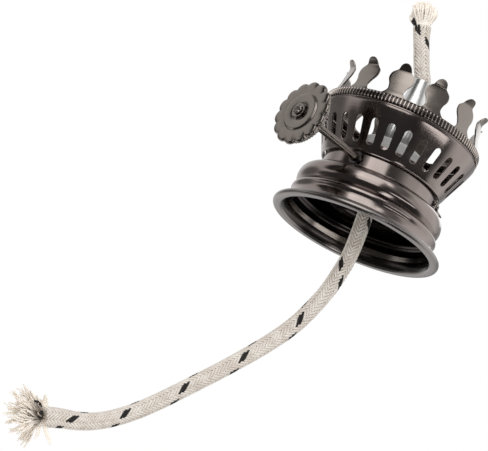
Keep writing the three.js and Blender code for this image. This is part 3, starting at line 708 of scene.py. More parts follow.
# %% World and floor
ROOM_LOBES = [
    ((0, -0.7, -0.714), 0.25, 0.42, 0.07),
    ((-0.84, -0.34, 0.423), 0.883, 0.94, 0.05),
    ((-0.863, 0.498, -0.087), 0.866, 0.978, 0.3),
    ((-0.2, -0.15, 0.968), 0.75, 0.92, 0.3),
    ((0.183, -0.683, 0.707), 0.77, 0.9, 0.3),
    ((-0.865, -0.03, -0.5), 0.93, 0.97, 0.1),
    ((0.369, 0.913, 0.174), 0.76, 0.94, 0.45),
]
DIFFUSE_LEVEL = 0.68
FLOOR_HEIGHT = -300
FLOOR_WIDTH = 6000

world = bpy.data.worlds.new("studio")
world.use_nodes = True
tree = world.node_tree
tree.nodes.clear()
place = add_node(tree, "ShaderNodeTexCoord").outputs["Generated"]
rays = add_node(tree, "ShaderNodeLightPath").outputs
whiteness = 1
for direction, edge, heart, darkness in ROOM_LOBES:
    towards = maths(tree, "DOT_PRODUCT", place, direction, kind="ShaderNodeVectorMath")
    whiteness = maths(tree, "MINIMUM", whiteness, ramp(tree, towards, edge, heart, 1, darkness))
seen = maths(tree, "ADD", rays["Is Camera Ray"], rays["Is Transmission Ray"])
glossy = maths(tree, "MULTIPLY_ADD", rays["Is Glossy Ray"], whiteness, seen)
level = maths(tree, "MULTIPLY_ADD", rays["Is Diffuse Ray"], DIFFUSE_LEVEL, glossy)
sky = add_node(tree, "ShaderNodeBackground", inputs={"Color": linear("#ffffff"), "Strength": level})
add_node(tree, "ShaderNodeOutputWorld", inputs={"Surface": sky})
scene.world = world

floor_material, tree = new_material("pale_floor")
paper = add_node(tree, "ShaderNodeBsdfDiffuse", inputs={"Color": linear("#f4f3f1")})
gone = add_node(tree, "ShaderNodeBsdfTransparent")
side = add_node(tree, "ShaderNodeNewGeometry")
both = add_node(tree, "ShaderNodeMixShader", inputs={0: side.outputs["Backfacing"], 1: paper, 2: gone})
add_node(tree, "ShaderNodeOutputMaterial", inputs={"Surface": both})
half = FLOOR_WIDTH / 2
floor_corners = [(x * half, y * half, FLOOR_HEIGHT) for x, y in ((-1, -1), (1, -1), (1, 1), (-1, 1))]
floor = mesh_piece("floor", [(floor_corners, [(0, 1, 2, 3)])], [floor_material])
floor.visible_glossy = False
floor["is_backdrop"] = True
scene.view_settings.view_transform = "Standard"
print("dark parts of the room:", len(ROOM_LOBES))

# %% Lamps
LAMP_AIM = 0.015
LAMPS = [
    ("front_softbox", -17, 26, 0.9, 0.6, 1.15, 2.1),
    ("right_strip", 17, 47, 0.9, 0.14, 0.34, 2.4),
    ("low_right_lamp", 21, -53, 0.9, 0.2, 0.5, 3.2),
    ("low_front_strip", 42, -13, 0.9, 0.7, 0.12, 3),
    ("right_softbox", 108, 20, 1.0, 1.2, 1.3, 0.3),
    ("back_softbox", 165, 35, 1.0, 0.7, 0.5, 1.2),
]

for name, azimuth, elevation, distance, width, height, brightness in LAMPS:
    data = bpy.data.lights.new(name, "AREA")
    data.shape = "RECTANGLE"
    data.size, data.size_y = width, height
    data.energy = brightness * math.pi * width * height
    lamp = bpy.data.objects.new(name, data)
    around, up = math.radians(azimuth), math.radians(elevation)
    away = Vector((math.sin(around) * math.cos(up), -math.cos(around) * math.cos(up), math.sin(up)))
    lamp.location = Vector((0, 0, LAMP_AIM)) + away * distance
    lamp.rotation_mode = "QUATERNION"
    lamp.rotation_quaternion = away.to_track_quat("Z", "Y")
    scene.collection.objects.link(lamp)
print("lamps:", len(LAMPS))

# %% [markdown]
# ## Plated and bright metals
# The dark parts are pressed brass or steel with black nickel plate: a warm, nearly black mirror with a
# slight satin. Spinning and polishing leave very fine lines round the axis, which widen highlights along
# it, so the bump follows circles. Aluminium, brass and the satin lip are made by the same function.

# %% Metal materials
SPIN_LINE = 0.25
SPIN_DEPTH = 0.05
PATCH_EDGES = (0.3, 0.7)
PATCH = 6


def metal_material(name, deep, light, roughness, lines, spread=0.08, metallic=1):
    """Metal with its colour in soft patches and fine lines round an axis."""
    material, tree = new_material(name)
    place = add_node(tree, "ShaderNodeTexCoord").outputs["Object"]
    apart = add_node(tree, "ShaderNodeSeparateXYZ", inputs={"Vector": place}).outputs
    flat = add_node(tree, "ShaderNodeCombineXYZ", inputs={"X": apart["X"], "Y": apart["Y"]})
    radius = maths(tree, "LENGTH", flat, kind="ShaderNodeVectorMath")
    ring = add_node(tree, "ShaderNodeCombineXYZ", inputs={"X": radius, "Y": apart["Z"]})
    patches = noise(tree, place, PATCH, 4, 0.6)
    rough = ramp(tree, patches, *PATCH_EDGES, roughness - spread / 2, roughness + spread / 2, "LINEAR")
    finish_material(tree, noise(tree, ring, SPIN_LINE, 3), lines, SPIN_DEPTH, {
        "Base Color": mix_colours(tree, patches, linear(deep), linear(light)), "Metallic": metallic,
        "Roughness": rough,
    })
    return material


black_nickel = metal_material("spun_black_nickel", "#7b716d", "#8e8480", 0.17, 0.12)
lip_nickel = metal_material("satin_lip_nickel", "#7d7876", "#8e8986", 0.27, 0.15)
stamped_nickel = metal_material("stamped_black_nickel", "#776f69", "#87807a", 0.2, 0.1)
# The ribs' lighter nickel is partly wear and partly a painted highlight.
worn_and_highlight_nickel = metal_material("worn_and_highlight_black_nickel", "#9a9089", "#ada39c", 0.24, 0.1)
# Painted shade: a darker copy of the plate for the shell's inside, the underside of the neck cup's floor, the
# rim between the ribs and the spindle bush.
painted_shade_nickel = metal_material("painted_shade_black_nickel", "#3c3836", "#46413f", 0.22, 0.12)
aluminium = metal_material("drawn_aluminium", "#c4c4c2", "#d6d6d4", 0.32, 0.2)
cast_white = metal_material("dull_aluminium", "#f4f4f2", "#fcfcfa", 0.55, 0.2, metallic=0.25)
brass = metal_material("turned_brass", "#a5844a", "#bb9a5d", 0.3, 0.2)
print("materials:", len(bpy.data.materials))

# %% [markdown]
# ## Spun and pressed shells
# A spun shell is one profile turned round the axis, so a lathe function makes most of the burner: it takes
# a closed loop of radius and height pairs. Sharp corners never occur on sheet metal, so a second function
# rounds every corner of a loop first, and that thin round is what catches the light along an edge.

# %% Shell helpers
SIDES = 216
ON_AXIS = 1e-6


LARGEST_ROUND = 0.45
ROW_BESIDE = 1.1


def soften(loop, radius, steps=3):
    """The closed loop with each corner rounded, and a narrow row beside each round to keep walls flat."""
    loop = [Vector(point) for point in loop]
    softened = []
    for index, corner in enumerate(loop):
        back, ahead = loop[index - 1] - corner, loop[(index + 1) % len(loop)] - corner
        size = min(radius, back.length * LARGEST_ROUND, ahead.length * LARGEST_ROUND)
        back, ahead = back.normalized() * size, ahead.normalized() * size
        softened.append(corner + back * ROW_BESIDE)
        for step in range(steps + 1):
            share = step / steps
            softened.append(corner + back * (1 - share) ** 2 + ahead * share ** 2)
        softened.append(corner + ahead * ROW_BESIDE)
    return softened


def inner_line(line, wall):
    """The line one wall further in, for an outer line that goes up."""
    inner = []
    for index, point in enumerate(line):
        along = (line[min(index + 1, len(line) - 1)] - line[max(index - 1, 0)]).normalized()
        inner.append(point + Vector((-along.y, along.x)) * wall)
    return inner


def lathe(name, loop, material, sides=SIDES, smooth_degrees=35):
    """A loop of radius and height pairs turned round the Z axis. One that starts on the axis ends on it."""
    line = [point for point in loop if point[0] > ON_AXIS]
    closed = len(line) == len(loop)
    angles = [2 * math.pi * side / sides for side in range(sides)]
    rings = [[turned(radius, angle, height) for angle in angles] for radius, height in line]
    places, faces = net(rings, across=True, along=closed)
    if not closed:
        start = loop.index(line[0])
        first, last = len(places), len(places) - sides
        places += [(0, 0, loop[start - 1][1]), (0, 0, loop[start + len(line)][1])]
        for side in range(sides):
            after = (side + 1) % sides
            faces += [(first, after, side), (last + side, last + after, first + 1)]
    piece = mesh_piece(name, [(places, faces)], [material], smooth_degrees=smooth_degrees)
    face_outwards(piece, smooth_degrees)
    return piece


def face_outwards(piece, smooth_degrees=35, merge=1e-7):
    """Merges doubled points and turns the faces of a closed piece outwards."""
    shape = bmesh.new()
    shape.from_mesh(piece.data)
    bmesh.ops.remove_doubles(shape, verts=shape.verts, dist=merge)
    bmesh.ops.recalc_face_normals(shape, faces=shape.faces)
    shape.to_mesh(piece.data)
    shape.free()
    smooth_mesh(piece.data, smooth_degrees)


def settle(piece, smooth_degrees=35):
    """Turns a piece with modifiers into a plain mesh."""
    mesh = bpy.data.meshes.new_from_object(piece.evaluated_get(bpy.context.evaluated_depsgraph_get()))
    piece.modifiers.clear()
    piece.data = mesh
    smooth_mesh(mesh, smooth_degrees)
    return piece


def add_modifier(piece, name, kind, **settings):
    """A modifier with its settings."""
    modifier = piece.modifiers.new(name, kind)
    for setting, value in settings.items():
        setattr(modifier, setting, value)
    return modifier


def cut(piece, cutter):
    """Takes the cutter's space out of the piece."""
    add_modifier(piece, "cut", "BOOLEAN", operation="DIFFERENCE", solver="EXACT", object=cutter)
    settle(piece)
    bpy.data.objects.remove(cutter)


def repaint(piece, materials, choose):
    """Adds materials, and numbers each face's by its place in millimetres and whether it faces outwards."""
    for material in materials:
        piece.data.materials.append(material)
    for face in piece.data.polygons:
        outwards = face.normal.x * face.center.x + face.normal.y * face.center.y > 0
        face.material_index = choose(face.center / MM, face.normal, outwards)


# %% [markdown]
# ## The spindle's own frame
# The knob, washer, spindle and everything in line with them are easiest to draw round their own axis. This
# frame has its Z outwards along the spindle, and each of those pieces is moved by it once, in its mesh.

# %% Spindle frame
SPINDLE_AZIMUTH = math.radians(-50)
SPINDLE_OFFSET = 4.6
SPINDLE_HEIGHT = 14.8
KNOB_FACE = 37.2


def outward_frame(azimuth, across, height):
    """A frame with its Z outwards at an azimuth, moved across from the axis and up."""
    return (
        Matrix.Rotation(azimuth, 4, "Z") @ Matrix.Translation(Vector((across, 0, height)) * MM)
        @ Matrix.Rotation(math.radians(90), 4, "X")
    )


spindle_frame = outward_frame(SPINDLE_AZIMUTH, SPINDLE_OFFSET, SPINDLE_HEIGHT)
print("spindle frame:", SPINDLE_HEIGHT, "mm up")


def moved(piece, frame=spindle_frame):
    """Moves a piece that was drawn in the spindle's frame, or in another one, to its place."""
    piece.data.transform(frame)
    piece.data.update()
    return piece


def rod(name, radius, bottom, top, sides=48):
    """A plain round rod along Z, for cutting holes."""
    return lathe(name, [(0, bottom), (radius, bottom), (radius, top), (0, top)], None, sides)


# %% [markdown]
# ## Base shell
# The base is one spun shell. From the neck down it has a rounded shoulder and a full bead, a sharp crease,
# a second slight bead and a straight band, and ends in a lip that is rolled outwards and back. The rolled
# lip rests on the lamp and has lost its polish, so it gets a lighter satin finish of its own. The inside is
# darkened as painted shade, and its narrowest ring is lightened as a painted highlight.

# %% Base shell
SHEET = 0.4
BEAD_LINE = [
    (15.7, 13.1), (15.72, 12.85), (15.95, 12.7), (16.7, 12.5), (17.6, 12.15), (18.31, 11.66),
    (18.85, 11.05), (19.2, 10.2), (19.37, 9.17), (19.27, 8.3), (18.95, 7.6), (18.5, 7), (18.3, 6.75),
]
BAND_LINE = [
    (18.3, 6.75), (18.75, 6.5), (19.25, 6.2), (19.48, 5.85), (19.54, 5.4), (19.42, 5), (19.27, 4.6),
    (19.22, 4.2), (19.25, 3.75), (19.38, 3.15), (19.58, 2.5), (20, 1.95), (20.6, 1.64),
]
LIP_LINE = [
    (20.6, 1.64), (21.6, 1.6), (22.17, 1.37), (22.4, 0.8), (22.17, 0.23), (21.6, 0), (20.9, 0),
    (20.35, 0.06), (20.05, 0.32),
]
INNER_BAND_LINE = [
    (20.05, 0.32), (19.9, 0.6), (19.6, 1.1), (19.38, 1.7), (19.25, 2.3), (19.17, 2.8), (19.04, 3.26),
    (18.91, 3.72), (18.83, 4), (18.82, 4.25), (18.86, 4.6), (18.96, 5), (19.08, 5.4), (19.02, 5.8),
    (18.7, 6.15), (18.2, 6.4), (17.92, 6.7),
]
LIP_TOP = 1.66
LIP_INNER_RADIUS = 19.9
HIGHLIGHT_RING_BOTTOM = 2.75
HIGHLIGHT_RING_TOP = 4.2
INNER_JOIN = 0.1

bead_line = smooth_line(BEAD_LINE, 5)
inner_bead = inner_line(bead_line[::-1], SHEET)
shell_loop = bead_line[:-1] + smooth_line(BAND_LINE, 5)[:-1] + smooth_line(LIP_LINE, 5)[:-1]
shell_loop += smooth_line(INNER_BAND_LINE, 5)
shell_loop += [point for point in inner_bead if point.y > INNER_BAND_LINE[-1][1] + INNER_JOIN]
base_shell = lathe("base_shell_spun", shell_loop, black_nickel)


def shell_finish(place, normal, outwards):
    """0 is the plate, 1 the worn lip, 2 the inside darkened as painted shade and 3 its ring lightened as a
    painted highlight.
    """
    if place.z < LIP_TOP and math.hypot(place.x, place.y) > LIP_INNER_RADIUS:
        return 1
    if outwards:
        return 0
    return 3 if HIGHLIGHT_RING_BOTTOM < place.z < HIGHLIGHT_RING_TOP else 2


# The inside is painted shade, and the ring between the two heights is a painted highlight in the lighter
# plate.
repaint(base_shell, [lip_nickel, painted_shade_nickel, stamped_nickel], shell_finish)
stands_for(base_shell, "base_shell", "burner_body")

# %% [markdown]
# ## Neck cup
# The neck cup is pressed into the base shell: its wall stands up as the smooth neck that the gallery slips
# over, and its floor closes the fuel side. The spindle passes through its wall, a vent through its floor.

# %% Neck cup
NECK_RADIUS = 15.05
NECK_TOP = 19.8
FLOOR_TOP = 11
TUBE_RADIUS = 2.55
TUBE_GAP = 0.3
FOOT_RADIUS = 17.6
CUP_ROUNDING = 0.15
SPINDLE_HOLE_RADIUS = 1.65
VENT_RADIUS = 0.6
VENT_REACH = 12.175
VENT_AZIMUTH = math.radians(140)
FACES_DOWN = -0.5

floor_bottom = FLOOR_TOP - SHEET
hole_radius = TUBE_RADIUS + TUBE_GAP
cup_loop = soften([
    (hole_radius, floor_bottom), (FOOT_RADIUS, floor_bottom), (FOOT_RADIUS, FLOOR_TOP),
    (NECK_RADIUS, FLOOR_TOP), (NECK_RADIUS, NECK_TOP), (NECK_RADIUS - SHEET, NECK_TOP),
    (NECK_RADIUS - SHEET, FLOOR_TOP), (hole_radius, FLOOR_TOP),
], CUP_ROUNDING)
neck_cup = lathe("neck_cup_pressed", cup_loop, black_nickel)
cut(neck_cup, moved(rod("spindle_hole", SPINDLE_HOLE_RADIUS, 0, NECK_TOP)))
vent = rod("vent_hole", VENT_RADIUS, 0, NECK_TOP)
vent_frame = Matrix.Rotation(VENT_AZIMUTH, 4, "Z") @ Matrix.Translation((0, -VENT_REACH * MM, 0))
cut(neck_cup, moved(vent, vent_frame))
# The downward faces under the floor get painted shade.
repaint(neck_cup, [painted_shade_nickel], lambda place, normal, outwards: (
    normal.z < FACES_DOWN and place.z < FLOOR_TOP))
stands_for(neck_cup, "neck_cup", "burner_body")

# %% [markdown]
# ## Catch
# A small pointed ear, riveted to the neck, stops the gallery from turning. It is a folded strip, so it is
# drawn as a foot and a blade in one mesh, with a Bevel modifier for its edges.

# %% Catch and rivet
CATCH_AZIMUTH = math.radians(84)
CATCH_RADIUS = 15.35
CATCH_SHEET = 0.45
CATCH_HALF_WIDTH = 2.3
CATCH_BOTTOM = 13.4
CATCH_TOP = 16.2
CATCH_REACH = 18
CATCH_ROUNDING = 0.08
EAR_PLACE = 1.3
EAR_LOW = (0.25, 0.6)
EAR_HIGH = (0.5, -0.4)
EAR_TIP_LEAN = 0.05
RIVET_PLACE = -1
RIVET_HEIGHT = 14.8
RIVET_ROUNDING = 0.12
RIVET_LOOP = [
    (0, 13.9), (0.8, 13.95), (1, 14.35), (0.55, 14.35), (0.55, 16.1), (1, 16.1), (0.8, 16.5), (0, 16.55),
]


def block(left, right, front_low, back_low, front_high, back_high):
    """A body with flat sides, from how far its four long edges run across and each one's y and z."""
    places = []
    for front, back in ((front_low, back_low), (front_high, back_high)):
        places += [(left, *front), (right, *front), (right, *back), (left, *back)]
    return places, [(3, 2, 1, 0), (4, 5, 6, 7), (0, 1, 5, 4), (1, 2, 6, 5), (2, 3, 7, 6), (3, 0, 4, 7)]


outside = -CATCH_RADIUS - CATCH_SHEET
root = outside + CATCH_SHEET / 2
foot = block(
    -CATCH_HALF_WIDTH, CATCH_HALF_WIDTH, (outside, CATCH_BOTTOM), (-CATCH_RADIUS, CATCH_BOTTOM),
    (outside, CATCH_TOP), (-CATCH_RADIUS, CATCH_TOP))
ear = block(
    EAR_PLACE - CATCH_SHEET / 2, EAR_PLACE + CATCH_SHEET / 2, (-CATCH_REACH, CATCH_BOTTOM + EAR_LOW[0]),
    (root, CATCH_BOTTOM + EAR_LOW[1]), (-CATCH_REACH + EAR_TIP_LEAN, CATCH_BOTTOM + EAR_HIGH[0]),
    (root, CATCH_TOP + EAR_HIGH[1]))
catch = mesh_piece("catch_folded", [foot, ear], [stamped_nickel])
moved(catch, Matrix.Rotation(CATCH_AZIMUTH, 4, "Z"))
face_outwards(catch)
add_modifier(catch, "bevel", "BEVEL", width=CATCH_ROUNDING * MM, segments=2)
settle(catch)
stands_for(catch, "gallery_catch", "burner_body")

rivet_loop = [(max(radius, 0), height) for radius, height in soften(RIVET_LOOP, RIVET_ROUNDING)]
rivet = lathe("catch_rivet_domed", rivet_loop, stamped_nickel, sides=32)
moved(rivet, outward_frame(CATCH_AZIMUTH, RIVET_PLACE, RIVET_HEIGHT))
stands_for(rivet, "catch_rivet", "burner_body")

# %% [markdown]
# ## Raiser housing, guide tube, collar and tip
# These are drawn and spun aluminium. The housing is an inverted cup, the tube is flared where the wick
# enters it, and the tip is a hollow cone, so each is one lathe profile. The collar's flutes repeat round
# the axis, and Geometry Nodes make them later with the other repeated shapes.

# %% Raiser housing
HOUSING_LOOP = [
    (7.6, 11.3), (9.3, 11.3), (9.3, 11.7), (8, 11.7), (8, 25), (2.85, 25), (2.85, 24.6), (7.6, 24.6),
]
HOUSING_ROUNDING = 0.35
PASSAGE_RADIUS = 1.3
PASSAGE_REACH = 12

housing = lathe("raiser_housing_drawn", soften(HOUSING_LOOP, HOUSING_ROUNDING, 4), cast_white)
cut(housing, moved(rod("passage", PASSAGE_RADIUS, -PASSAGE_REACH, PASSAGE_REACH)))
stands_for(housing, "raiser_housing", "burner_body")

# %% Guide tube
TUBE_LOOP = [
    (3.3, 7.5), (2.9, 8.1), (2.62, 8.6), (2.55, 9.1), (2.55, 33), (2.25, 33), (2.25, 9.2), (2.32, 8.6),
    (2.6, 8.1), (3, 7.5),
]
TUBE_ROUNDING = 0.12
WINDOW_DEPTH = 3.625
WINDOW_HALF_HEIGHT = 2.65
WINDOW_HALF_WIDTH = 0.8

guide_tube = lathe("guide_tube_flared", soften(TUBE_LOOP, TUBE_ROUNDING), aluminium, sides=96)
window_edges = [
    (up * WINDOW_HALF_HEIGHT, along * WINDOW_HALF_WIDTH) for along in (-1, 1) for up in (-1, 1)
]
window = mesh_piece("window", [block(-WINDOW_DEPTH, 0, *window_edges)], [])
cut(guide_tube, moved(window))
stands_for(guide_tube, "guide_tube", "burner_body")

# %% Burner tip
TIP_LINE = [
    (5.3, 33.3), (5.06, 33.75), (4.53, 34.87), (3.93, 36.3), (3.4, 38), (2.93, 40), (2.66, 42.5),
    (2.55, 44.3),
]
TIP_MOUTH_AND_INSIDE = [(2.5, 44.5), (2.3, 44.5), (2.25, 44.4), (2.25, 36.75), (5, 33.3)]
TIP_ROUNDING = 0.06

tip_loop = soften(smooth_line(TIP_LINE, 5) + TIP_MOUTH_AND_INSIDE, TIP_ROUNDING)
burner_tip = lathe("burner_tip_spun", tip_loop, aluminium, sides=144, smooth_degrees=60)
stands_for(burner_tip, "burner_tip", "burner_body")

# %% [markdown]
# ## Repeating round an axis
# Slots, prongs, ribs, beads and flutes all repeat round an axis. One Geometry Nodes tree does it: it makes
# as many points as there are repeats, turns a copy of the drawn piece at each, makes the copies real and
# merges the seams. Its inputs are the number of repeats, the first angle, the merge distance and the
# material. Each result is then turned into a plain mesh.

# %% Round-repeat tree
REPEAT_INPUTS = {
    "Geometry": "Geometry", "Repeats": "Int", "First Angle": "Float", "Merge Distance": "Float",
    "Material": "Material",
}
EDGE_ANGLE = math.radians(60)


def round_repeat_tree():
    """The tree that repeats a shape round Z and gives it its material."""
    tree = bpy.data.node_groups.new("repeat_round_axis", "GeometryNodeTree")
    for label, kind in REPEAT_INPUTS.items():
        tree.interface.new_socket(label, in_out="INPUT", socket_type="NodeSocket" + kind)
    tree.interface.new_socket("Geometry", in_out="OUTPUT", socket_type="NodeSocketGeometry")
    given = add_node(tree, "NodeGroupInput").outputs
    points = add_node(tree, "GeometryNodePoints", inputs={"Count": given["Repeats"]})
    number = add_node(tree, "GeometryNodeInputIndex").outputs["Index"]
    step = maths(tree, "DIVIDE", 2 * math.pi, given["Repeats"])
    angle = maths(tree, "MULTIPLY_ADD", number, step, given["First Angle"])
    turn = add_node(tree, "ShaderNodeCombineXYZ", inputs={"Z": angle})
    copies = add_node(tree, "GeometryNodeInstanceOnPoints", inputs={
        "Points": points, "Instance": given["Geometry"], "Rotation": turn,
    })
    real = add_node(tree, "GeometryNodeRealizeInstances", inputs={"Geometry": copies})
    merged = add_node(tree, "GeometryNodeMergeByDistance", inputs={
        "Geometry": real, "Distance": given["Merge Distance"],
    })
    finished = add_node(tree, "GeometryNodeSetMaterial", inputs={
        "Geometry": merged, "Material": given["Material"],
    })
    add_node(tree, "NodeGroupOutput", inputs={"Geometry": finished})
    return tree


round_repeat = round_repeat_tree()
print("repeats round an axis with", len(round_repeat.nodes), "nodes")


def repeat_round(name, shape, material, repeats, first_angle=0, merge=0.002, wall=None, smooth_degrees=40):
    """A shape repeated round Z, as a plain mesh. A wall is a thickness, an offset and an edge's round."""
    piece = mesh_piece(name, [shape], [material], smooth_degrees=smooth_degrees)
    modifier = add_modifier(piece, "repeat", "NODES", node_group=round_repeat)
    values = {
        "Repeats": repeats, "First Angle": first_angle, "Merge Distance": merge * MM, "Material": material,
    }
    for item in round_repeat.interface.items_tree:
        if item.name in values:
            modifier[item.identifier] = values[item.name]
    if wall:
        thickness, offset, rounding = wall
        add_modifier(piece, "wall", "SOLIDIFY", thickness=thickness * MM, offset=offset)
        add_modifier(piece, "edge", "BEVEL", limit_method="ANGLE", angle_limit=EDGE_ANGLE,
                     width=rounding * MM, segments=2)
    settle(piece, smooth_degrees)
    if not wall:
        face_outwards(piece, smooth_degrees)
    return piece


def wedge(rows, repeats, steps, shape, along=True):
    """One repeat of a turned shape. Shape gives the radius and height of a row at a share across it."""
    rings = []
    for row in rows:
        rings.append([])
        for step in range(steps + 1):
            radius, height = shape(row, step / steps)
            rings[-1].append(turned(radius, 2 * math.pi / repeats * (step / steps - 0.5), height))
    return net(rings, along=along)


# %% [markdown]
# ## Gallery basket
# The gallery is a spun basket with 27 pierced slots that let the air in. One twenty-seventh of it is drawn
# as a flat net: rings of faces that run from the round-ended slot out to the sector's edges, and plain rows
# above and below. The net is wrapped on the profile, repeated, and given the sheet's thickness.

# %% Gallery basket
SLOTS = 27
SLOT_FIRST_ANGLE = math.radians(3.4)
SLOT_WIDTH = 2
SLOT_LENGTH = 6.8
SLOT_MIDDLE = 5.48
NET_BOTTOM = 1.3
NET_TOP = 9.6
NET_SIDE_STEPS = 12
NET_END_STEPS = 8
NET_SHARES = [1, 0.9, 0.72, 0.4, 0]
LOWER_ROWS = [0, 0.12, 0.3, 0.5, 0.8, NET_BOTTOM]
UPPER_ROWS = 26
GALLERY_ROUNDING = 0.07
GALLERY_LINE = [
    (16.05, 16.5), (16.06, 16.75), (16.2, 16.95), (17.9, 20.85), (19.55, 24.65), (20.04, 25.85),
    (20.4, 26.8), (20.68, 27.6), (20.84, 28.15), (20.86, 28.38), (20.76, 28.56), (20.56, 28.7),
    (20.52, 28.88), (20.62, 29.1), (20.78, 29.4), (20.84, 29.95), (20.8, 30.5), (20.66, 30.95),
    (20.42, 31.3),
]

gallery_line = smooth_line(GALLERY_LINE, 5)
gallery_along = distances(gallery_line)
sector = 2 * math.pi / SLOTS


def on_gallery(angle, distance):
    """A place on the basket at an angle, and at a distance up along its profile."""
    radius, height = point_along(gallery_line, gallery_along, distance)
    return turned(radius, angle, height)


def net_loop(share):
    """One loop of the net, from the sector's edge at share 0 to the slot's edge at share 1."""
    half_width, straight = SLOT_WIDTH / 2, (SLOT_LENGTH - SLOT_WIDTH) / 2
    pairs = []
    for way, top, bottom in ((1, NET_TOP, NET_BOTTOM), (-1, NET_BOTTOM, NET_TOP)):
        for step in range(NET_END_STEPS):
            round_share = step / NET_END_STEPS
            bend = math.pi * (1 - round_share)
            slot = (half_width * math.cos(bend), straight + half_width * math.sin(bend))
            pairs.append((way, sector * (round_share - 0.5), top, slot))
        for step in range(NET_SIDE_STEPS):
            down = step / NET_SIDE_STEPS
            slot = (half_width, straight * (1 - 2 * down))
            pairs.append((way, sector / 2, top + (bottom - top) * down, slot))
    loop = []
    for way, edge_angle, edge_distance, (across, up) in pairs:
        distance = SLOT_MIDDLE + way * up
        angle = across / point_along(gallery_line, gallery_along, distance).x
        angle = way * (edge_angle * (1 - share) + angle * share)
        loop.append(on_gallery(angle, edge_distance * (1 - share) + distance * share))
    return loop


def plain_rows(distances_up):
    """Whole rows of the sector at the given distances along its profile."""
    return net([
        [on_gallery(sector * (step / NET_END_STEPS - 0.5), distance) for step in range(NET_END_STEPS + 1)]
        for distance in distances_up
    ])


upper_length = gallery_along[-1] - NET_TOP
upper_rows = [NET_TOP + upper_length * row / UPPER_ROWS for row in range(UPPER_ROWS + 1)]
pierced = net([net_loop(share) for share in NET_SHARES], across=True)
gallery = repeat_round(
    "gallery_basket_pierced", joined([pierced, plain_rows(LOWER_ROWS), plain_rows(upper_rows)]),
    black_nickel, SLOTS, SLOT_FIRST_ANGLE,
    wall=(SHEET, -1, GALLERY_ROUNDING), smooth_degrees=35)
print("gallery basket:", SLOTS, "slots and", len(gallery.data.polygons), "faces")

# %% [markdown]
# The rim's bead is knurled: about 135 short ribs that run up and down across it. Each is a small closed
# capsule that follows the bead's profile, and the same tree repeats it.

# %% Knurled rim
RIBS = 135
RIB_BOTTOM_HEIGHT = 28.95
RIB_TOP_HEIGHT = 31.2
RIB_RADIUS = 20.72
RIB_HALF_WIDTH = 0.28
RIB_HALF_HEIGHT = 0.32
RIB_SIDES = 6
RIB_ROWS = 6
RIB_SQUARENESS = 6
RIB_END_SHARE = 0.08

# Painted shade: the rim's outer face between the ribs gets the darker painted-shade finish.
repaint(gallery, [painted_shade_nickel], lambda place, normal, outwards: (
    outwards and RIB_BOTTOM_HEIGHT < place.z < RIB_TOP_HEIGHT))
rib_rows = [
    distance for point, distance in zip(gallery_line, gallery_along)
    if RIB_BOTTOM_HEIGHT <= point.y <= RIB_TOP_HEIGHT
]
rings = []
for row in range(RIB_ROWS + 1):
    share = row / RIB_ROWS
    height = point_along(gallery_line, gallery_along, rib_rows[0] + (rib_rows[-1] - rib_rows[0]) * share).y
    full = math.sqrt(max(1 - (2 * share - 1) ** RIB_SQUARENESS, RIB_END_SHARE))
    half_width, half_height = RIB_HALF_WIDTH * full, RIB_HALF_HEIGHT * full
    corners = [2 * math.pi * side / RIB_SIDES for side in range(RIB_SIDES)]
    rings.append([
        (half_width * math.cos(corner), -RIB_RADIUS - half_height * math.sin(corner), height)
        for corner in corners
    ])
# The ribs are in the lighter nickel: partly wear, partly painted highlight.
ribs = repeat_round("knurled_rim", tube(rings), worn_and_highlight_nickel, RIBS, merge=0, smooth_degrees=60)
for piece in (gallery, ribs):
    stands_for(piece, "gallery_basket", "gallery")

# %% [markdown]
# ## Prong crown
# The crown is stamped from one sheet: a flat ring that the glass chimney stands on, a low wall, and twelve
# leaf-shaped prongs that lean in and spring against the glass. One prong with its part of the ring is drawn
# from measured rows of height, width and lean, and the round-repeat tree makes the twelve.

# %% Prong crown
PRONGS = 12
PRONG_FIRST_ANGLE = math.radians(11.4)
CROWN_RADIUS = 19.65
CROWN_SHEET = 0.36
PRONG_ROOT = 31.12
PRONG_TOP = 40.7
PRONG_LEAN = 1.5
PRONG_HALF_WIDTH = 3.25
CROWN_RING = [
    (17.1, 30.02), (17.6, 30.02), (18.4, 30.02), (18.85, 30.04), (19.2, 30.16), (19.5, 30.45),
    (19.65, 30.85),
]
PRONG_ROWS = [
    (0, 1.57, 0), (0.02, 1.18, 0.01), (0.05, 0.96, 0.04), (0.11, 0.77, 0.12), (0.2, 0.66, 0.3),
    (0.36, 0.76, 0.57), (0.5, 0.96, 0.77), (0.6, 1, 0.87), (0.7, 0.93, 0.96), (0.78, 0.7, 1),
    (0.83, 0.54, 0.96), (0.87, 0.49, 0.84), (0.92, 0.43, 0.6), (0.96, 0.34, 0.37), (0.985, 0.22, 0.23),
    (1, 0.1, 0.15),
]
PRONG_BOW = -0.15
PRONG_BOW_GROWTH = 8
CROWN_ROUNDING = 0.06
PRONG_COLUMNS = 12

rows = [(radius, height, math.pi / PRONGS, 0) for radius, height in CROWN_RING]
for height_share, width_share, lean_share in smooth_line(PRONG_ROWS, 4):
    radius = CROWN_RADIUS - lean_share * PRONG_LEAN
    height = PRONG_ROOT + height_share * (PRONG_TOP - PRONG_ROOT)
    half_angle = min(width_share * PRONG_HALF_WIDTH / radius, math.pi / PRONGS)
    bow = PRONG_BOW * min(height_share * PRONG_BOW_GROWTH, 1) * width_share ** 2
    rows.append((radius, height, half_angle, bow))
shares = [2 * column / PRONG_COLUMNS - 1 for column in range(PRONG_COLUMNS + 1)]
prong = net([
    [turned(radius - bow * across ** 2, half_angle * across, height) for across in shares]
    for radius, height, half_angle, bow in rows
])
crown = repeat_round(
    "prong_crown_stamped", prong, stamped_nickel, PRONGS, PRONG_FIRST_ANGLE,
    wall=(CROWN_SHEET, 0, CROWN_ROUNDING), smooth_degrees=35)
stands_for(crown, "prong_crown", "gallery")

# %% [markdown]
# ## Fluted collar
# The collar that carries the tip is a thick tube with sixteen flutes. One flute is drawn as a wedge of the
# tube and repeated.

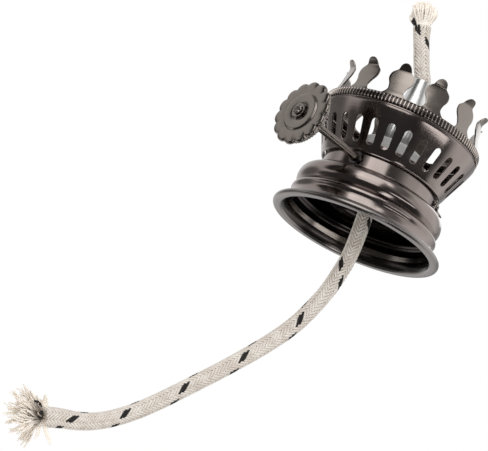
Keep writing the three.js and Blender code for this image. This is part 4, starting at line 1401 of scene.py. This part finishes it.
# %% Fluted collar
FLUTES = 16
COLLAR_BOTTOM = 25.3
COLLAR_TOP = 33
COLLAR_RADIUS = 3.9
COLLAR_BORE = 2.85
FLUTE_DEPTH = 0.28
FLUTE_STEPS = 8
FLUTE_POINT = 2
COLLAR_EDGE = 0.12
COLLAR_EDGE_HEIGHT = 0.15
COLLAR_ROWS = [
    (COLLAR_BORE, COLLAR_BOTTOM, 0), (None, COLLAR_BOTTOM, COLLAR_EDGE),
    (None, COLLAR_BOTTOM + COLLAR_EDGE_HEIGHT, 0), (None, COLLAR_TOP - COLLAR_EDGE_HEIGHT, 0),
    (None, COLLAR_TOP, COLLAR_EDGE), (COLLAR_BORE, COLLAR_TOP, 0),
]


def collar_shape(row, share):
    """The radius and height of a row at a share across one flute."""
    bore, height, less = row
    flute = FLUTE_DEPTH * abs(math.cos(math.pi * share)) ** FLUTE_POINT
    return bore or COLLAR_RADIUS - less - flute, height


collar_wedge = wedge(COLLAR_ROWS, FLUTES, FLUTE_STEPS, collar_shape)
collar = repeat_round("fluted_collar_turned", collar_wedge, aluminium, FLUTES, smooth_degrees=50)
stands_for(collar, "fluted_collar", "burner_body")

# %% [markdown]
# ## Spindle and knob
# The spindle is turned smooth where it runs in its bearings and ridged where it shows. The knob is two
# stampings, one gripped behind the other: a face with a raised middle and fourteen lobes, and a cup whose
# edge is finely beaded. Both are drawn in the spindle's frame, one lobe or bead at a time.

# %% Spindle
RIDGES = 8
RIDGE_STEPS = 8
RIDGE_DEPTH = 0.13
RIDGE_POINT = 3
SPINDLE_ROWS = [
    (0, -9.2, 0), (0.85, -9.2, 0), (1, -9.05, 0), (1, 15.6, 0), (1, 15.9, 1), (1, 33.77, 1),
    (0.9, 33.9, 0.5), (0.76, 33.9, 0), (0.76, 37.87, 0), (1.15, 37.9, 0.5), (1.33, 37.97, 1),
    (1.36, 38.07, 1.5), (1.25, 38.22, 2.2), (0.95, 38.35, 2.6), (0.62, 38.3, 1.6), (0.3, 38.1, 0.5),
    (0, 38.05, 0),
]


def spindle_shape(row, share):
    """The radius and height of a row at a share across one ridge."""
    radius, height, ridged = row
    groove = RIDGE_DEPTH * abs(math.cos(math.pi * share)) ** RIDGE_POINT
    return max(radius - ridged * groove, 0), height


spindle_wedge = wedge(SPINDLE_ROWS, RIDGES, RIDGE_STEPS, spindle_shape, along=False)
spindle = repeat_round("spindle_ridged", spindle_wedge, stamped_nickel, RIDGES)
stands_for(moved(spindle), "spindle", "wick_drive")

# %% Knob front
KNOB_RADIUS = 8.2
LOBES = 14
LOBE_HEIGHT = 0.36
LOBE_STEPS = 12
LOBE_LIFT = 0.07
LOBE_POINT = 2.2
SWELL_GROWTH = 6
LIFT_GROWTH = 8
KNOB_FACE_LINE = [
    (1.06, -0.4), (1.9, -0.38), (2.25, -0.3), (2.45, -0.14), (2.7, -0.06), (3.6, -0.01), (4.5, 0),
    (4.75, -0.04), (4.92, -0.26), (5.1, -0.42), (5.35, -0.44), (6.1, -0.42), (7, -0.44), (7.6, -0.5),
    (7.95, -0.62), (8.15, -0.9), (8.2, -1.25), (8.12, -1.6),
]
KNOB_FACE_BACK = [(7.7, -1.45), (5.3, -1.25), (3, -1), (1.06, -1)]


def knob_stamping(name, loop, lobes, steps, rim_radius, lobe_height, lift):
    """A stamping from a closed loop of radius and height pairs, whose lobes swell towards its rim."""
    def lobed(row, share):
        radius, height = row
        bump = 1 - 2 * abs(2 * share - 1) ** LOBE_POINT
        swell = lobe_height * (radius / rim_radius) ** SWELL_GROWTH * bump
        return radius + swell, KNOB_FACE + height + lift * (radius / rim_radius) ** LIFT_GROWTH * bump

    piece = repeat_round(name, wedge(loop, lobes, steps, lobed), stamped_nickel, lobes)
    return moved(piece)


knob_loop = smooth_line(KNOB_FACE_LINE, 3) + KNOB_FACE_BACK
knob_front = knob_stamping(
    "knob_front_stamped", knob_loop, LOBES, LOBE_STEPS, KNOB_RADIUS, LOBE_HEIGHT, LOBE_LIFT)
stands_for(knob_front, "knob_front", "wick_drive")

# %% Knob back
KNOB_BACK_RADIUS = 7.5
BEADS = 56
BEAD_HEIGHT = 0.13
BEAD_STEPS = 6
KNOB_BACK_LOOP = [
    (1.06, -3), (6.5, -3), (7.1, -2.93), (7.42, -2.7), (7.5, -2.4), (7.5, -2.05), (7.46, -1.8),
    (7.2, -1.78), (7.1, -2), (7.08, -2.3), (6.8, -2.6), (1.06, -2.6),
]

knob_back = knob_stamping(
    "knob_back_beaded", KNOB_BACK_LOOP, BEADS, BEAD_STEPS, KNOB_BACK_RADIUS, BEAD_HEIGHT, 0)
stands_for(knob_back, "knob_back", "wick_drive")

# %% Washer and bush
WASHER_LOOP = [(1.06, 37.35), (1.91, 37.35), (1.91, 37.75), (1.06, 37.75)]
WASHER_ROUNDING = 0.1
BUSH_LOOP = [
    (1.08, 11.43), (2.2, 11.43), (2.2, 12.73), (1.6, 12.73), (1.6, 14), (1.95, 14), (1.95, 14.9),
    (1.08, 14.9),
]
BUSH_ROUNDING = 0.12

washer = lathe("knob_washer_plain", soften(WASHER_LOOP, WASHER_ROUNDING), stamped_nickel, sides=64)
stands_for(moved(washer), "knob_washer", "wick_drive")
# The bush inside the neck is in the painted-shade finish.
bush = lathe("spindle_bush_turned", soften(BUSH_LOOP, BUSH_ROUNDING), painted_shade_nickel, sides=64)
stands_for(moved(bush), "spindle_bush", "burner_body")

# %% [markdown]
# ## Hidden works
# The saddle, the spur wheel and the stop ring are inside the housing and the neck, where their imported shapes
# are right as they are. They only need the turned brass finish.

# %% Hidden works
for node in ("spindle_saddle", "spur_wheel", "stop_ring"):
    held = frame["nodes"][node]
    if not held.material_slots:
        held.data.materials.append(brass)
    for place in held.material_slots:
        place.material = brass
    print(node, "is finished in brass")

# %% Sizes
visual_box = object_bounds()
for label, box in (("packed", cad_box), ("dressed", visual_box)):
    print(label, [[round(value * 1000, 1) for value in corner] for corner in box])
